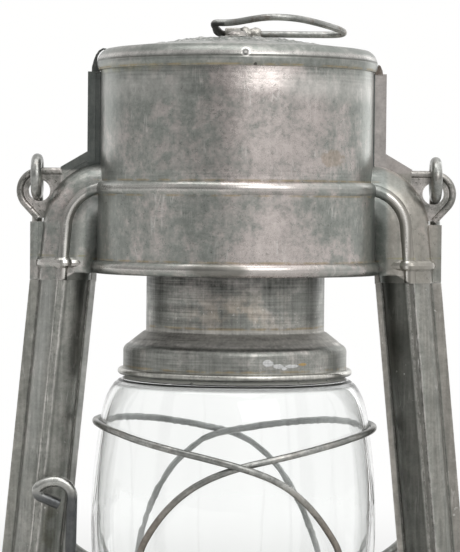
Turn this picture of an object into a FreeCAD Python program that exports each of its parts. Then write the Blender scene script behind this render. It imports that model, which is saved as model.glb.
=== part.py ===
# Hurricane lantern with a tall storm hood, two side air tubes, a globe that lifts for lighting,
# a chimney that lifts off the glass, a flat-wick burner and a round fuel tank.
# Millimetres. Z is up, X runs through the two side tubes, the front faces -Y.
# The origin is the centre of the tank's base.
import FreeCAD
import Part
import math
import os

os.makedirs("parts", exist_ok=True)
V = FreeCAD.Vector
X_AXIS, Y_AXIS, Z_AXIS = V(1, 0, 0), V(0, 1, 0), V(0, 0, 1)

# Sheet and clearances
sheet = 0.6
thin_sheet = 0.5
slip = 0.15
clear = 0.3
running = 0.06

# Tank
tank_radius = 62.5
tank_height = 34.0
tank_shoulder = 7.0
tank_crown = 5.0
filler_angle = -125.0
filler_reach = 47.0
neck_radius = 10.0
neck_height = 7.0
cap_radius = 12.0
cap_height = 8.5

# Air chamber on the tank
chamber_radius = 33.0
chamber_height = 16.5
burner_hole = 20.0

# Globe plate and glass
plate_gap = 5.5
plate_rim = 4.0
plate_bore = 22.5
glass_height = 103.0
glass_foot = 30.0
glass_belly = 42.8
glass_neck = 32.4
glass_wall = 2.0
belly_share = 0.57
plate_radius = glass_belly + 1.2
guard_wire = 2.0
guard_gap = 0.45
globe_travel = 20.0

# Side air tubes, as seen from the front: a ridge with a lobe on each side and two seam flanges
globe_side_gap = 5.75
ridge_slope = 0.095
tube_depth = 7.6
tube_side_half = 0.6
tube_outer = 6.7
tube_inner = 8.0
ridge_half = 1.1
ridge_rise = 1.0
ridge_groove = 0.4
outer_flange = 3.1
inner_flange = 2.0
tube_bend = 15.0
tube_entry = 9.0

# Chimney
chimney_radius = 26.7
skirt_radius = glass_neck + 1.1
skirt_height = 7.5
cone_height = 4.8
lip_wire = 1.0
chimney_length = 48.0

# Hood
hood_rise = 28.0
drum_radius = 40.8
drum_height = 34.3
mid_bead_height = 4.0
mid_bead_rise = 1.2
band_radius = 41.9
band_height = 19.5
rim_radius = 43.4
rim_height = 4.0
elbow_bend = 12.0
elbow_drop = 2.2
elbow_bead_half = 1.0
elbow_bead_rise = 1.3
collar_level = 3.5
collar_height = 3.4
collar_rise = 1.1
seam_width = 3.6
hem_width = 1.7
shoulder_reach = 14.0
shoulder_top = 17.5
shoulder_foot = 22.4
lid_bead_height = 6.1
lid_rise = 2.3
lid_disc = 20.4
disc_rise = 1.1
shank_radius = 2.0

# Ears and bail
ear_hole = 3.2
ear_radius = 6.9
ear_sheet = 0.8
ear_curl = 1.1
bail_wire = 3.3
bail_length = 136.0
bail_corner = 38.0
bail_flare = 5.0
bail_rest_gap = 1.84
bail_reach = glass_belly + guard_gap + guard_wire + bail_wire / 2 + bail_rest_gap
bail_lean = math.degrees(math.asin(bail_reach / bail_length))
eye_radius = 5.25

# Finger loop and its strap
loop_wire = 2.0
strap_left = 3.9
strap_right = 7.0
strap_gap = 0.8
strap_sheet = 0.8
loop_offset = 5.4
loop_tilt = 11.4

# Globe lever
lever_wire = 3.2
bracket_sheet = 1.0
wire_step = lever_wire / 2 + 0.12
lever_y = -(tube_depth + ridge_rise + bracket_sheet + clear + lever_wire / 2 + wire_step)
lever_arm = 24.5
hook_height = 63.5
pin_radius = 2.0
pin_play = 0.25

# Burner
burner_turn = -50.0
burner_radius = 18.5
seat_radius = 16.0
cone_top = 19.0
wick_width = 16.0
wick_thick = 1.8
wick_tube_wall = 0.5
shaft_radius = 1.25
star_tip = 3.4
star_teeth = 8
shaft_reach = 66.0
knob_radius = 9.0
knob_thick = 3.5

# Levels, from the table up
z_shoulder = tank_height
z_tank_top = tank_height + tank_crown
z_chamber_top = z_tank_top + chamber_height
z_plate = z_chamber_top + plate_gap
z_glass = z_plate + sheet
z_glass_top = z_glass + glass_height
z_belly = z_glass + glass_height * belly_share
z_lip = z_glass_top - 2.3
z_hood = z_lip + hood_rise
ridge_x = (glass_belly + globe_side_gap + inner_flange + tube_inner
           - (z_hood - z_belly) * ridge_slope)
z_rim_top = z_hood + elbow_drop + rim_height
z_band_top = z_rim_top + band_height
z_drum_bottom = z_band_top + mid_bead_height
z_drum_top = z_drum_bottom + drum_height
z_tube_foot = z_tank_top + chamber_height / 2 + 0.9


def save(name, shape):
    shape.exportStep("parts/" + name + ".step")


def pt(x, z):
    return V(x, 0, z)


def loop_face(points):
    return Part.Face(Part.makePolygon(points + [points[0]]))


def outline(items, place=pt):
    """A closed wire. An item is a corner (a, b), or the middle point of an arc (a, b, "arc")
    between the corners before and after it; place turns a and b into a point."""
    edges = []
    i = 0
    while i < len(items) - 1:
        here, ahead = place(*items[i][:2]), place(*items[i + 1][:2])
        if len(items[i + 1]) == 3:
            edges.append(Part.Arc(here, ahead, place(*items[i + 2][:2])).toShape())
            i += 2
        else:
            if here.distanceToPoint(ahead) > 1e-6:
                edges.append(Part.makeLine(here, ahead))
            i += 1
    edges.append(Part.makeLine(place(*items[-1][:2]), place(*items[0][:2])))
    return Part.Wire(edges)


def profile_face(items):
    return Part.Face(outline(items))


def spun(items, angle=360):
    return profile_face(items).revolve(V(), Z_AXIS, angle)


def ring(r_in, r_out, z0, z1):
    outer = Part.makeCylinder(r_out, z1 - z0, V(0, 0, z0))
    return outer.cut(Part.makeCylinder(r_in, z1 - z0, V(0, 0, z0)))


def box(x0, x1, y0, y1, z0, z1):
    return Part.makeBox(x1 - x0, y1 - y0, z1 - z0, V(x0, y0, z0))


def mirrored_x(shape):
    return shape.mirror(V(), X_AXIS)


def mirrored_y(shape):
    return shape.mirror(V(), Y_AXIS)


def both_sides(shape):
    return shape.fuse(mirrored_x(shape))


def turned(shape, angle, centre=V(), axis=Z_AXIS):
    copy = shape.copy()
    copy.rotate(centre, axis, angle)
    return copy


def one(shape):
    clean = shape.removeSplitter()
    return clean.Solids[0] if len(clean.Solids) == 1 else clean


# Round wire along a path
def arc_from(start, tangent, end):
    """The arc that leaves start along tangent and reaches end."""
    chord = end - start
    normal = tangent.cross(chord)
    if normal.Length < 1e-6 * chord.Length:
        return Part.makeLine(start, end)
    side = normal.cross(tangent).normalize()
    radius = chord.Length ** 2 / (2 * chord.dot(side))
    centre = start + side * radius
    mid = centre + ((start + end) * 0.5 - centre).normalize() * radius
    if tangent.dot(chord) < 0:
        mid = centre - ((start + end) * 0.5 - centre).normalize() * radius
    return Part.Arc(start, mid, end).toShape()


def biarc(p0, t0, p1, t1):
    """Two arcs from p0 to p1 that leave along t0 and arrive along t1."""
    v = p1 - p0
    t = t0 + t1
    lean = 2 * (1 - t0.dot(t1))
    if lean < 1e-9:
        d = v.dot(v) / (4 * v.dot(t1))
    else:
        d = (-v.dot(t) + math.sqrt(v.dot(t) ** 2 + lean * v.dot(v))) / lean
    middle = (p0 + t0 * d + p1 - t1 * d) * 0.5
    first = arc_from(p0, t0, middle)
    last = arc_from(p1, t1 * -1, middle)
    return [first, last]


def smooth_path(points, tangents):
    edges = []
    for i in range(len(points) - 1):
        edges += biarc(points[i], tangents[i], points[i + 1], tangents[i + 1])
    return edges


def rounded_path(points, radii, closed=False):
    """Straight runs with a round corner at each inner point."""
    n = len(points)
    corners = range(n) if closed else range(1, n - 1)
    cut = {}
    for i in corners:
        here, back, ahead = points[i], points[i - 1], points[(i + 1) % n]
        u, w = (back - here).normalize(), (ahead - here).normalize()
        radius = radii[i] if isinstance(radii, (list, tuple)) else radii
        half = math.acos(max(-1, min(1, u.dot(w)))) / 2
        reach = radius / math.tan(half)
        centre = here + (u + w).normalize() * (radius / math.sin(half))
        mid = centre + (here - centre).normalize() * radius
        cut[i] = (here + u * reach, mid, here + w * reach)
    edges = []
    last = n if closed else n - 1
    for i in range(last):
        j = (i + 1) % n
        start = cut[i][2] if i in cut else points[i]
        end = cut[j][0] if j in cut else points[j]
        if (end - start).Length > 1e-6:
            edges.append(Part.makeLine(start, end))
        if j in cut and (closed or j < n - 1):
            edges.append(Part.Arc(*cut[j]).toShape())
    return edges


def wire_tube(edges, diameter):
    path = Part.Wire(Part.__sortEdges__(edges))
    first = path.OrderedEdges[0]
    start = first.valueAt(first.FirstParameter)
    direction = first.tangentAt(first.FirstParameter)
    if path.OrderedVertexes[0].Point.distanceToPoint(start) > 1e-6:
        start = first.valueAt(first.LastParameter)
        direction = first.tangentAt(first.LastParameter) * -1
    section = Part.Wire(Part.makeCircle(diameter / 2, start, direction))
    shell = Part.BRepOffsetAPI.MakePipeShell(path)
    shell.add(section)
    shell.build()
    shell.makeSolid()
    return shell.shape()


# Side tube section, in its own axes: p outwards from the ridge, q towards the front
def lobe(ridge_edge, reach, deep):
    """Middle of the arc from the ridge's edge that meets the tube's side upright."""
    rise = deep - tube_side_half
    centre = (reach ** 2 - ridge_edge ** 2 - rise ** 2) / (2 * (reach - ridge_edge))
    half_turn = math.atan2(rise, ridge_edge - centre) / 2
    radius = reach - centre
    return centre + radius * math.cos(half_turn), tube_side_half + radius * math.sin(half_turn)


def tube_section(grow, scale=1.0, inner=tube_inner, bead=False):
    """The pressed section grown by a wall or a clearance, without its flanges. The tube's ridge is
    a folded seam with a groove between its two edges; the elbow has a round bead in its place."""
    o, i = tube_outer * scale + grow, inner * scale + grow
    deep = tube_depth + grow
    if bead:
        w = elbow_bead_half + grow
        ridge = [(w, deep), (0, deep + elbow_bead_rise, "arc"), (-w, deep)]
    elif grow < 0:
        w = ridge_half
        ridge = [(w, deep), (-w, deep)]
    else:
        w, high = ridge_half + grow, deep + ridge_rise
        lip, floor = w - ridge_groove, high - (0 if grow else ridge_groove)
        ridge = [(w, deep), (w, high), (lip, high), (lip - 0.1, floor),
                 (0.1 - lip, floor), (-lip, high), (-w, high), (-w, deep)]
    out_p, out_q = lobe(w, o, deep)
    in_p, in_q = lobe(w, i, deep)
    half = [(o, tube_side_half), (out_p, out_q, "arc")] + ridge
    half += [(-in_p, in_q, "arc"), (-i, tube_side_half)]
    return half + [(item[0], -item[1]) + item[2:] for item in reversed(half)]


def placed(section, origin, p_dir):
    return outline(section, lambda p, q: origin + p_dir * p - Y_AXIS * q)


def ridge_at(z):
    return ridge_x + (z_hood - z) * ridge_slope


def bend_solid(section, centre, radius, angle):
    """Turns a section that stands at +X of the centre about the Y axis, upwards and inwards."""
    face = Part.Face(placed(section, pt(centre.x + radius, centre.z), X_AXIS))
    return face.revolve(centre, V(0, -1, 0), angle)


def lofted(a, b):
    return Part.makeLoft([a, b], True, True)


# Elbow of the hood, right side: it carries the side tube's section round into the drum
z_bend = z_band_top + mid_bead_height / 2 - elbow_bend
bend_centre = pt(ridge_at(z_bend) - elbow_bend, z_bend)
elbow_grow = slip + sheet
elbow_wall = elbow_bend + tube_outer + elbow_grow
elbow_web = min(ridge_x - band_radius + 1.0, elbow_bend - elbow_grow - 0.3)
mouth_depth = 18.0


def elbow_leg(section, low):
    return lofted(placed(section, pt(ridge_at(low), low), X_AXIS),
                  placed(section, pt(bend_centre.x + elbow_bend, z_bend), X_AXIS))


def elbow(inset, deeper=0):
    """The socket takes the tube's section; above the rim a web joins it to the band."""
    grow, bead = elbow_grow - inset, inset == 0
    section = tube_section(grow, inner=elbow_web, bead=bead)
    bend = bend_solid(section, bend_centre, elbow_bend, 90)
    web = elbow_leg(section, z_hood + elbow_drop if bead else z_rim_top + 0.2)
    socket = elbow_leg(tube_section(grow, bead=bead), z_hood - deeper)
    mouth = Part.Face(placed(section, pt(bend_centre.x, z_bend + elbow_bend), Z_AXIS))
    return bend.fuse([web, socket, mouth.extrude(V(-mouth_depth + deeper, 0, 0))])


def drum(inset, deeper=0):
    r, band, rim = drum_radius - inset, band_radius - inset, rim_radius - inset
    bead = band_radius + mid_bead_rise - 0.6 - inset
    z_rim = z_hood + elbow_drop
    return spun([(0, z_drum_top + deeper), (r, z_drum_top + deeper), (r, z_drum_bottom),
                 (bead, z_drum_bottom - mid_bead_height / 2, "arc"), (band, z_band_top),
                 (band, z_rim_top), (rim, z_rim_top - rim_height / 2, "arc"),
                 (band + 0.4, z_rim), (band + 0.4, z_rim - deeper), (0, z_rim - deeper)])


def socket_bead():
    """A round bead about the socket, in line with the rim's bead."""
    rings = []
    for k in range(7):
        a = math.pi * k / 6
        z = z_hood + collar_level + collar_height * (1 - math.cos(a)) / 2
        grow = elbow_grow - sheet / 2 + (collar_rise + sheet / 2) * math.sin(a)
        section = tube_section(grow, bead=True)
        rings.append(placed(section, pt(ridge_at(z), z), X_AXIS))
    return Part.makeLoft(rings, True, True)


def hood_shell():
    outer = drum(0).fuse(both_sides(elbow(0)))
    inner = drum(sheet, 4).fuse(both_sides(elbow(sheet, 3)))
    return outer.fuse(both_sides(socket_bead())).cut(inner)


# Seams: two flat flanges face to face, one of them folded over the other
z_ear_low = z_bend + 1.6
shoulder_end = pt(bend_centre.x + shoulder_reach, z_bend + shoulder_top)


def slab_between(points, y0, y1):
    face = loop_face([V(p.x, y0, p.z) for p in points])
    return face.extrude(V(0, y1 - y0, 0))


def seam_strip(w0, w1, y0, y1, filled=False):
    """A strip along the right seam: down the drum, over the shoulder and down the socket.
    The filled one runs in under the shoulder, to the elbow."""
    x0 = drum_radius - sheet / 2
    down = box(x0 + w0, x0 + w1, y0, y1, z_bend + elbow_wall, z_drum_top - 1.7)
    low_x = ridge_at(z_bend) + tube_outer + elbow_grow - 0.4
    socket = box(low_x + w0, low_x + w1, y0, y1, z_hood + 0.1, z_ear_low)
    foot = pt(x0 + seam_width, z_bend + shoulder_foot)
    along = (shoulder_end - foot).normalize()
    out = V(-along.z, 0, along.x)
    rim = [foot + out * (w1 - seam_width), shoulder_end + out * (w1 - seam_width)]
    if filled:
        low = z_bend + shoulder_top / 2
        base = [pt(shoulder_end.x, low), pt(x0 + w0, low), pt(x0 + w0, foot.z)]
    else:
        base = [shoulder_end + out * (w0 - seam_width), foot + out * (w0 - seam_width)]
    return down.fuse([socket, slab_between(rim + base, y0, y1)])


def flange(front):
    y0, y1 = (-sheet, 0) if front else (0, sheet)
    return seam_strip(-0.2, seam_width, y0, y1, True)


def hem(over_front):
    """The folded edge: round the free edge and flat on the other flange's face."""
    s = -1 if over_front else 1
    lip = sorted((s * sheet, s * 2 * sheet))
    edge = sorted((-s * sheet, s * 2 * sheet))
    fold = seam_strip(seam_width, seam_width + sheet, *edge)
    return seam_strip(seam_width - hem_width, seam_width, *lip).fuse(fold)


# Ear on the elbow, with a hole for the bail's eye and a curled rim
ear_x = ridge_at(z_bend) + 8.6
z_ear = z_bend + 10.9
ear_tail = pt(ear_x + 0.3, z_bend + 2.7)


def ear():
    rim_r = ear_radius - ear_curl
    centre = pt(ear_x, z_ear)
    drop = ear_tail - centre
    turn = math.atan2(drop.z, drop.x) + math.acos(rim_r / drop.Length)
    arc_end = centre + V(math.cos(turn), 0, math.sin(turn)) * rim_r
    arc_mid, top = pt(ear_x + rim_r, z_ear), pt(ear_x, z_ear + rim_r)
    start = pt(shoulder_end.x, top.z)
    rim = [Part.makeLine(start, top), Part.Arc(top, arc_mid, arc_end).toShape(),
           Part.makeLine(arc_end, ear_tail)]
    root = pt(start.x, z_bend + 2.7)
    face = Part.Face(Part.Wire(rim + [Part.makeLine(ear_tail, root), Part.makeLine(root, start)]))
    plate = face.extrude(V(0, ear_sheet, 0))
    plate.translate(V(0, -ear_sheet / 2, 0))
    body = Part.makeCylinder(elbow_wall - sheet / 2, 20, bend_centre - Y_AXIS * 10, Y_AXIS)
    curl = wire_tube(rim, 2 * ear_curl)
    lip = Part.makeCylinder(ear_hole + 0.7, 1.3, V(ear_x, -0.65, z_ear), Y_AXIS)
    hole = Part.makeCylinder(ear_hole, 6, V(ear_x, -3, z_ear), Y_AXIS)
    return one(plate.cut(body).fuse([curl, lip]).cut(hole))


def make_hood():
    shell = hood_shell()
    ears = both_sides(ear())
    half = 90.0
    walls = both_sides(drum(0).fuse([elbow(0), socket_bead()]))
    right_hem = hem(False).cut([walls, flange(False)])
    left_hem = mirrored_x(hem(True)).cut([walls, mirrored_x(flange(True))])
    inside = drum(sheet, 4).fuse(both_sides(elbow(sheet, 3)))
    for name, front in (("hood_front", True), ("hood_rear", False)):
        y0, y1 = (-half, 0) if front else (0, half)
        body = shell.common(box(-half, half, y0, y1, 0, z_drum_top + 20))
        extra = [both_sides(flange(front)), right_hem if front else left_hem]
        save(name, one(body.fuse(extra).cut(ears).cut(inside)))
    right_ear = ear()
    save("ear_right", right_ear)
    save("ear_left", mirrored_x(right_ear))


def make_lid():
    r, z = drum_radius, z_drum_top
    low = z - 1.4
    top = low + lid_bead_height
    disc = lid_disc
    z_disc = top + lid_rise
    z_centre = z_disc + disc_rise
    bulge = low + lid_bead_height * 0.52
    t = sheet
    lid = spun([(shank_radius + clear, z_centre), (disc * 0.8, z_centre - 0.1), (disc, z_disc),
                (r - 2.4, top + 0.25), (r - 1.9, top - 0.25), (r - 1.3, top + 0.05),
                (r + 1.0, bulge, "arc"), (r + 0.05 + t, low), (r + 0.05, low), (r + 0.1, low + 1.6),
                (r + 0.2, bulge, "arc"), (r - 1.5, top - 0.9), (r - 2.7, top - 0.5),
                (disc - 0.2, z_disc - t), (disc * 0.8 - 0.2, z_centre - 0.1 - t),
                (shank_radius + clear, z_centre - t)])
    save("hood_lid", lid)
    return z_centre


def make_throat_plate():
    """A dished ring inside the hood that guides the chimney, with slots for the air."""
    z = z_drum_bottom - 5.0
    r_in = chimney_radius + clear
    r_out = band_radius - sheet - slip
    dish = spun([(r_in, z - 5), (r_in + thin_sheet, z - 5), (r_in + thin_sheet, z - thin_sheet),
                 (r_out, z - thin_sheet), (r_out, z), (r_in, z)])
    slot = box((r_in + 3), r_out - 3, -4, 4, z - 2, z + 2)
    slots = [turned(slot, 30 + 60 * k) for k in range(6)]
    save("throat_plate", one(dish.cut(slots)))


# Side tubes
def tube_solid(inset):
    top = z_hood + tube_entry
    foot_z = z_tube_foot + tube_bend
    narrow = 0.95
    upper = tube_section(-inset)
    lower = tube_section(-inset, narrow)
    extra = 1 if inset else 0
    start = pt(ridge_at(foot_z), foot_z)
    leg = lofted(placed(upper, pt(ridge_at(top + extra), top + extra), X_AXIS),
                 placed(lower, start, X_AXIS))
    centre = start - X_AXIS * tube_bend
    bend = Part.Face(placed(lower, start, X_AXIS)).revolve(centre, Y_AXIS, 90)
    mouth = Part.Face(placed(lower, pt(centre.x, centre.z - tube_bend), V(0, 0, -1)))
    run = centre.x - chamber_radius + 1.5
    return leg.fuse([bend, mouth.extrude(V(-run - extra, 0, 0))])


def tube_flange(p0, p1):
    """A seam flange of the tube, between two distances from its ridge."""
    rect = [(p0, thin_sheet), (p1, thin_sheet), (p1, -thin_sheet), (p0, -thin_sheet)]
    foot_z = z_tube_foot + tube_bend
    start = pt(ridge_at(foot_z), foot_z)
    top = z_hood - slip
    leg = lofted(placed(rect, pt(ridge_at(top), top), X_AXIS), placed(rect, start, X_AXIS))
    centre = start - X_AXIS * tube_bend
    bend = Part.Face(placed(rect, start, X_AXIS)).revolve(centre, Y_AXIS, 90)
    mouth = Part.Face(placed(rect, pt(centre.x, centre.z - tube_bend), V(0, 0, -1)))
    run = centre.x - chamber_radius - 2.0
    return leg.fuse([bend, mouth.extrude(V(-run, 0, 0))])


def make_tubes():
    outer = tube_solid(0)
    hollow = tube_solid(thin_sheet)
    flanges = tube_flange(tube_outer - 0.5, tube_outer + outer_flange)
    flanges = flanges.fuse(tube_flange(-tube_inner - inner_flange, -tube_inner + 0.6))
    tube = one(outer.fuse(flanges).cut([hollow, tank_profile(0, 0)]))
    save("air_tube_right", tube)
    save("air_tube_left", mirrored_x(tube))
    return outer


# Tank, filler and air chamber
def tank_profile(inset, base):
    r, z = tank_radius - inset, z_shoulder - inset * 0.3
    s = tank_shoulder
    diag = s * (1 - math.sqrt(0.5))
    return spun([(0, base), (r - 0.01, base), (r, z - s), (r - diag, z - diag, "arc"), (r - s, z),
                 (chamber_radius + 6, z_tank_top - inset), (0, z_tank_top - inset)])


def filler_place(shape):
    shape.translate(V(filler_reach, 0, 0))
    return turned(shape, filler_angle)


def make_tank():
    base_z = 3.0
    body = tank_profile(0, base_z).cut(tank_profile(sheet, base_z - 1))
    bead = spun([(tank_radius - 0.2, z_shoulder - tank_shoulder - 4.5),
                 (tank_radius + 0.9, z_shoulder - tank_shoulder - 3, "arc"),
                 (tank_radius - 0.2, z_shoulder - tank_shoulder - 1.5)])
    body = body.fuse(bead)
    neck_hole = filler_place(Part.makeCylinder(neck_radius - 1.4, 20, V(0, 0, z_shoulder - 6)))
    body = body.cut([neck_hole, Part.makeCylinder(seat_radius, 8, V(0, 0, z_tank_top - 4))])
    save("tank_body", one(body))
    r = tank_radius
    base = spun([(0, 2.4), (r - 3.6, 2.4), (r - 2.6, 1.4), (r - 2.2, 0.3), (r - 1.9, 0), (r - 0.5, 0),
                 (r + 0.3, 0.4), (r + 0.7, 1.8, "arc"), (r + 0.4, 3.2), (r + 0.05, 3.2),
                 (r, base_z), (0, base_z)])
    save("tank_base", base)


def make_filler():
    z0 = z_shoulder - 3.0
    z1 = z_tank_top + neck_height
    seat = z_tank_top - 1.6
    neck = ring(neck_radius - 1.2, neck_radius, z0, z1)
    collar = spun([(neck_radius - 0.1, seat), (neck_radius + 2.4, seat - 0.6),
                   (neck_radius + 2.4, seat + 0.3), (neck_radius, seat + 1.6)])
    neck = filler_place(neck.fuse(collar))
    save("filler_neck", one(neck.cut(tank_profile(0, 3.0).cut(filler_place(
        Part.makeCylinder(neck_radius - 1.3, 40, V(0, 0, 10)))))))
    gasket = filler_place(ring(neck_radius - 1.4, cap_radius - 1.4, z1 + 0.05, z1 + 1.3))
    save("cap_gasket", gasket)
    skirt_low = z1 + 1.35 + 1.2 - cap_height
    top = skirt_low + cap_height
    r, wall = cap_radius, 1.2
    cap = spun([(r - wall, skirt_low), (r, skirt_low), (r, top - 1.0), (r - 1.0, top), (r - 2.6, top),
                (r - 3.6, top + 1.0), (3, top + 1.4), (0, top + 1.4), (0, top - wall),
                (r - wall, top - wall)])
    flute = Part.makeCylinder(0.8, cap_height - 1.6, V(cap_radius + 0.35, 0, skirt_low - 0.6))
    cap = cap.cut([turned(flute, 360 / 24 * (k + 0.5)) for k in range(24)])
    save("filler_cap", filler_place(one(cap)))


def make_chamber(tube_outside):
    z0, z1, r = z_tank_top, z_chamber_top, chamber_radius
    t = thin_sheet
    shell = spun([(burner_hole, z1), (r - 1.6, z1), (r - 0.5, z1 - 0.5, "arc"), (r, z1 - 1.6),
                  (r, z0 + 1.2), (r + 2.4, z0 + 0.3), (r + 2.4, z0), (r - t, z0), (r - t, z1 - 1.6),
                  (r - t - 0.6, z1 - t - 0.4), (r - 1.6 - t, z1 - t), (burner_hole + t, z1 - t),
                  (burner_hole + t, z1 - 5), (burner_hole, z1 - 5)])
    shell = shell.cut(both_sides(tube_outside))
    shaft = Part.makeCylinder(shaft_radius + 0.5, 60, V(10, shaft_offset, z_shaft), X_AXIS)
    shell = shell.cut(turned(shaft, burner_turn))
    save("air_chamber", one(shell))


# Burner, in its own axes with the wick shaft along +X
z_shaft = z_tank_top + 8.0
shaft_offset = -(wick_thick / 2 + star_tip + clear)
z_wick_top = z_plate + 15.0
z_cone_low = z_chamber_top + 0.8


def slab(width, thick, z0, z1):
    return box(-width / 2, width / 2, -thick / 2, thick / 2, z0, z1)


def make_burner():
    inner = seat_radius - 1.0
    seat = ring(inner, seat_radius - 0.05, z_tank_top - 3, z_tank_top + 0.5)
    seat = seat.fuse(ring(inner, burner_hole + 3, z_tank_top, z_tank_top + 0.8))
    save("burner_seat", one(seat))

    r = burner_hole - 0.4
    base_z = z_tank_top + 0.8
    tube_w, tube_t = wick_width + 0.8 + 2 * wick_tube_wall, wick_thick + 0.8 + 2 * wick_tube_wall
    base = spun([(0, base_z), (r, base_z), (r, base_z + 1.0), (r - 3.5, base_z + 1.6),
                 (r - 4.5, z_cone_low - 1.2), (r - 4.0, z_cone_low - 0.6), (burner_radius, z_cone_low - 0.6),
                 (burner_radius, z_cone_low), (0, z_cone_low)])
    hollow = spun([(0, base_z + 1.0), (r - 4.4, base_z + 1.6), (r - 5.3, z_cone_low - 1.2),
                   (0, z_cone_low - 1.2)])
    base = base.cut([hollow, slab(tube_w + 0.02, tube_t + 0.02, base_z - 5, z_cone_low + 5)])
    vent = Part.makeCylinder(1.6, 6, V(burner_radius - 4.6, 0, z_cone_low - 3))
    base = base.cut([turned(vent, 20 * k) for k in range(18)])
    base = base.cut(Part.makeCylinder(shaft_radius + running, 60, V(4, shaft_offset, z_shaft), X_AXIS))
    save("burner_base", turned(one(base), burner_turn))

    tube = slab(tube_w, tube_t, z_tank_top - 6, z_wick_top - 3)
    tube = tube.cut(slab(wick_width + 0.8, wick_thick + 0.8, z_tank_top - 7, z_wick_top))
    window = box(-6.5, 6.5, -tube_t, 0, z_shaft - star_tip - 0.6, z_shaft + star_tip + 0.6)
    save("wick_tube", turned(one(tube.cut(window)), burner_turn))

    wick = slab(wick_width, wick_thick, 12.0, z_wick_top)
    save("wick", turned(wick, burner_turn))

    c0, top, t = z_cone_low, z_cone_low + cone_top, thin_sheet
    rc = burner_radius
    cone = spun([(0, top), (9.5, top - 1.6), (14.5, top - 6.0, "arc"), (rc - 1.5, top - 12.5), (rc, c0 + 3),
                 (rc + 0.9, c0), (rc + 0.9 - t, c0), (rc - t, c0 + 3), (rc - 1.5 - t, top - 12.6),
                 (14.5 - t, top - 6.3, "arc"), (9.3, top - 1.6 - t), (0, top - t)])
    slot = slab(wick_width + 5, 6.0, top - 8, top + 4)
    hole = Part.makeCylinder(1.1, 40, V(0, 0, c0 + 4.6), X_AXIS)
    cone = cone.cut([slot] + [turned(hole, 15 + 30 * k) for k in range(12)])
    save("burner_cone", turned(one(cone), burner_turn))

    shaft = Part.makeCylinder(shaft_radius, shaft_reach + 8, V(-8, shaft_offset, z_shaft), X_AXIS)
    save("wick_shaft", turned(shaft, burner_turn))
    stars = []
    for x in (-3.4, 2.4):
        stars.append(star_wheel().translated(V(x, shaft_offset, z_shaft)))
    save("star_wheels", turned(Part.makeCompound(stars), burner_turn))
    knob = knob_solid().translated(V(shaft_reach - knob_thick - 1.2, shaft_offset, z_shaft))
    save("wick_knob", turned(knob, burner_turn))


def star_wheel():
    points = []
    for k in range(2 * star_teeth):
        r = star_tip if k % 2 == 0 else star_tip * 0.62
        a = math.pi * k / star_teeth
        points.append(V(0, r * math.cos(a), r * math.sin(a)))
    wheel = loop_face(points).extrude(V(1.0, 0, 0))
    return wheel.cut(Part.makeCylinder(shaft_radius, 4, V(-1, 0, 0), X_AXIS))


def knob_solid():
    disc = Part.makeCylinder(knob_radius, knob_thick, V(), X_AXIS)
    dish = Part.makeCylinder(knob_radius - 2.2, 1.0, V(knob_thick - 1.0, 0, 0), X_AXIS)
    boss = Part.makeCylinder(shaft_radius + 1.6, knob_thick + 1.2, V(-1.2, 0, 0), X_AXIS)
    flute = Part.makeCylinder(1.0, knob_thick, V(0, knob_radius + 0.3, 0), X_AXIS)
    knob = disc.cut(dish).fuse(boss)
    knob = knob.cut([turned(flute, 360 / 18 * k, V(), X_AXIS) for k in range(18)])
    return one(knob.cut(Part.makeCylinder(shaft_radius, 12, V(-3, 0, 0), X_AXIS)))


# Globe plate, glass and guard wires
def make_globe_plate():
    z0, z1, r = z_plate, z_plate + sheet, plate_radius
    plate = spun([(plate_bore, z0), (r - 1.0, z0), (r, z0 + 1.0), (r, z0 + plate_rim),
                  (r - sheet, z0 + plate_rim), (r - sheet, z1 + 0.8), (r - 1.4, z1),
                  (plate_bore + sheet, z1), (plate_bore + sheet, z1 + 3.0), (plate_bore, z1 + 3.0)])
    seat_r = glass_foot + clear
    seat = ring(seat_r, seat_r + sheet, z1 - 0.1, z1 + 2.2)
    plate = plate.fuse(seat)
    holes = []
    for radius, count, bore in ((26.3, 24, 1.5), (34.6, 30, 1.5), (39.3, 30, 1.5)):
        holes += [turned(Part.makeCylinder(bore, 4, V(radius, 0, z0 - 1)), 360 / count * (k + 0.5))
                  for k in range(count)]
    plate = plate.cut(holes)
    fork = guide_fork()
    save("globe_plate", one(plate.fuse([fork, mirrored_x(fork)])))


def guide_fork():
    """A tab on the plate's rim whose two prongs slide along the tube's inner flange."""
    z0 = z_plate + 1.2
    z_high = z0 + globe_travel
    tip = ridge_at(z_high) - tube_inner - inner_flange - clear
    prong = ridge_at(z_high) - tube_inner
    tab = box(plate_radius - 0.4, tip, -5.0, 5.0, z0, z0 + 1.0)
    prongs = box(tip - 0.6, prong, thin_sheet + clear, 3.2, z0, z0 + 1.0)
    return tab.fuse([prongs, mirrored_y(prongs)])


def glass_points(inset):
    z = z_glass
    return [(glass_foot - inset, z + 3.5), (glass_belly - 3.2 - inset, z + glass_height * 0.28),
            (glass_belly - inset, z_belly), (glass_belly - 2.2 - inset, z + glass_height * 0.82),
            (glass_belly - 4.9 - inset, z + glass_height * 0.925),
            (glass_neck + 2.6 - inset, z_glass_top - 4.1), (glass_neck - inset, z_glass_top - 2.4)]


def glass_solid(inset, over):
    curve = Part.BSplineCurve()
    points = [pt(*p) for p in glass_points(inset)]
    curve.interpolate(Points=points, InitialTangent=V(0.6, 0, 1), FinalTangent=V(-0.8, 0, 1))
    foot, top = points[0], points[-1]
    low = pt(glass_foot - inset, z_glass + 0.1 - over)
    high = pt(top.x, z_glass_top + over)
    edges = [Part.makeLine(pt(0, low.z), low), Part.makeLine(low, foot), curve.toShape(),
             Part.makeLine(top, high), Part.makeLine(high, pt(0, high.z)),
             Part.makeLine(pt(0, high.z), pt(0, low.z))]
    return Part.Face(Part.Wire(edges)).revolve(V(), Z_AXIS, 360)


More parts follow.
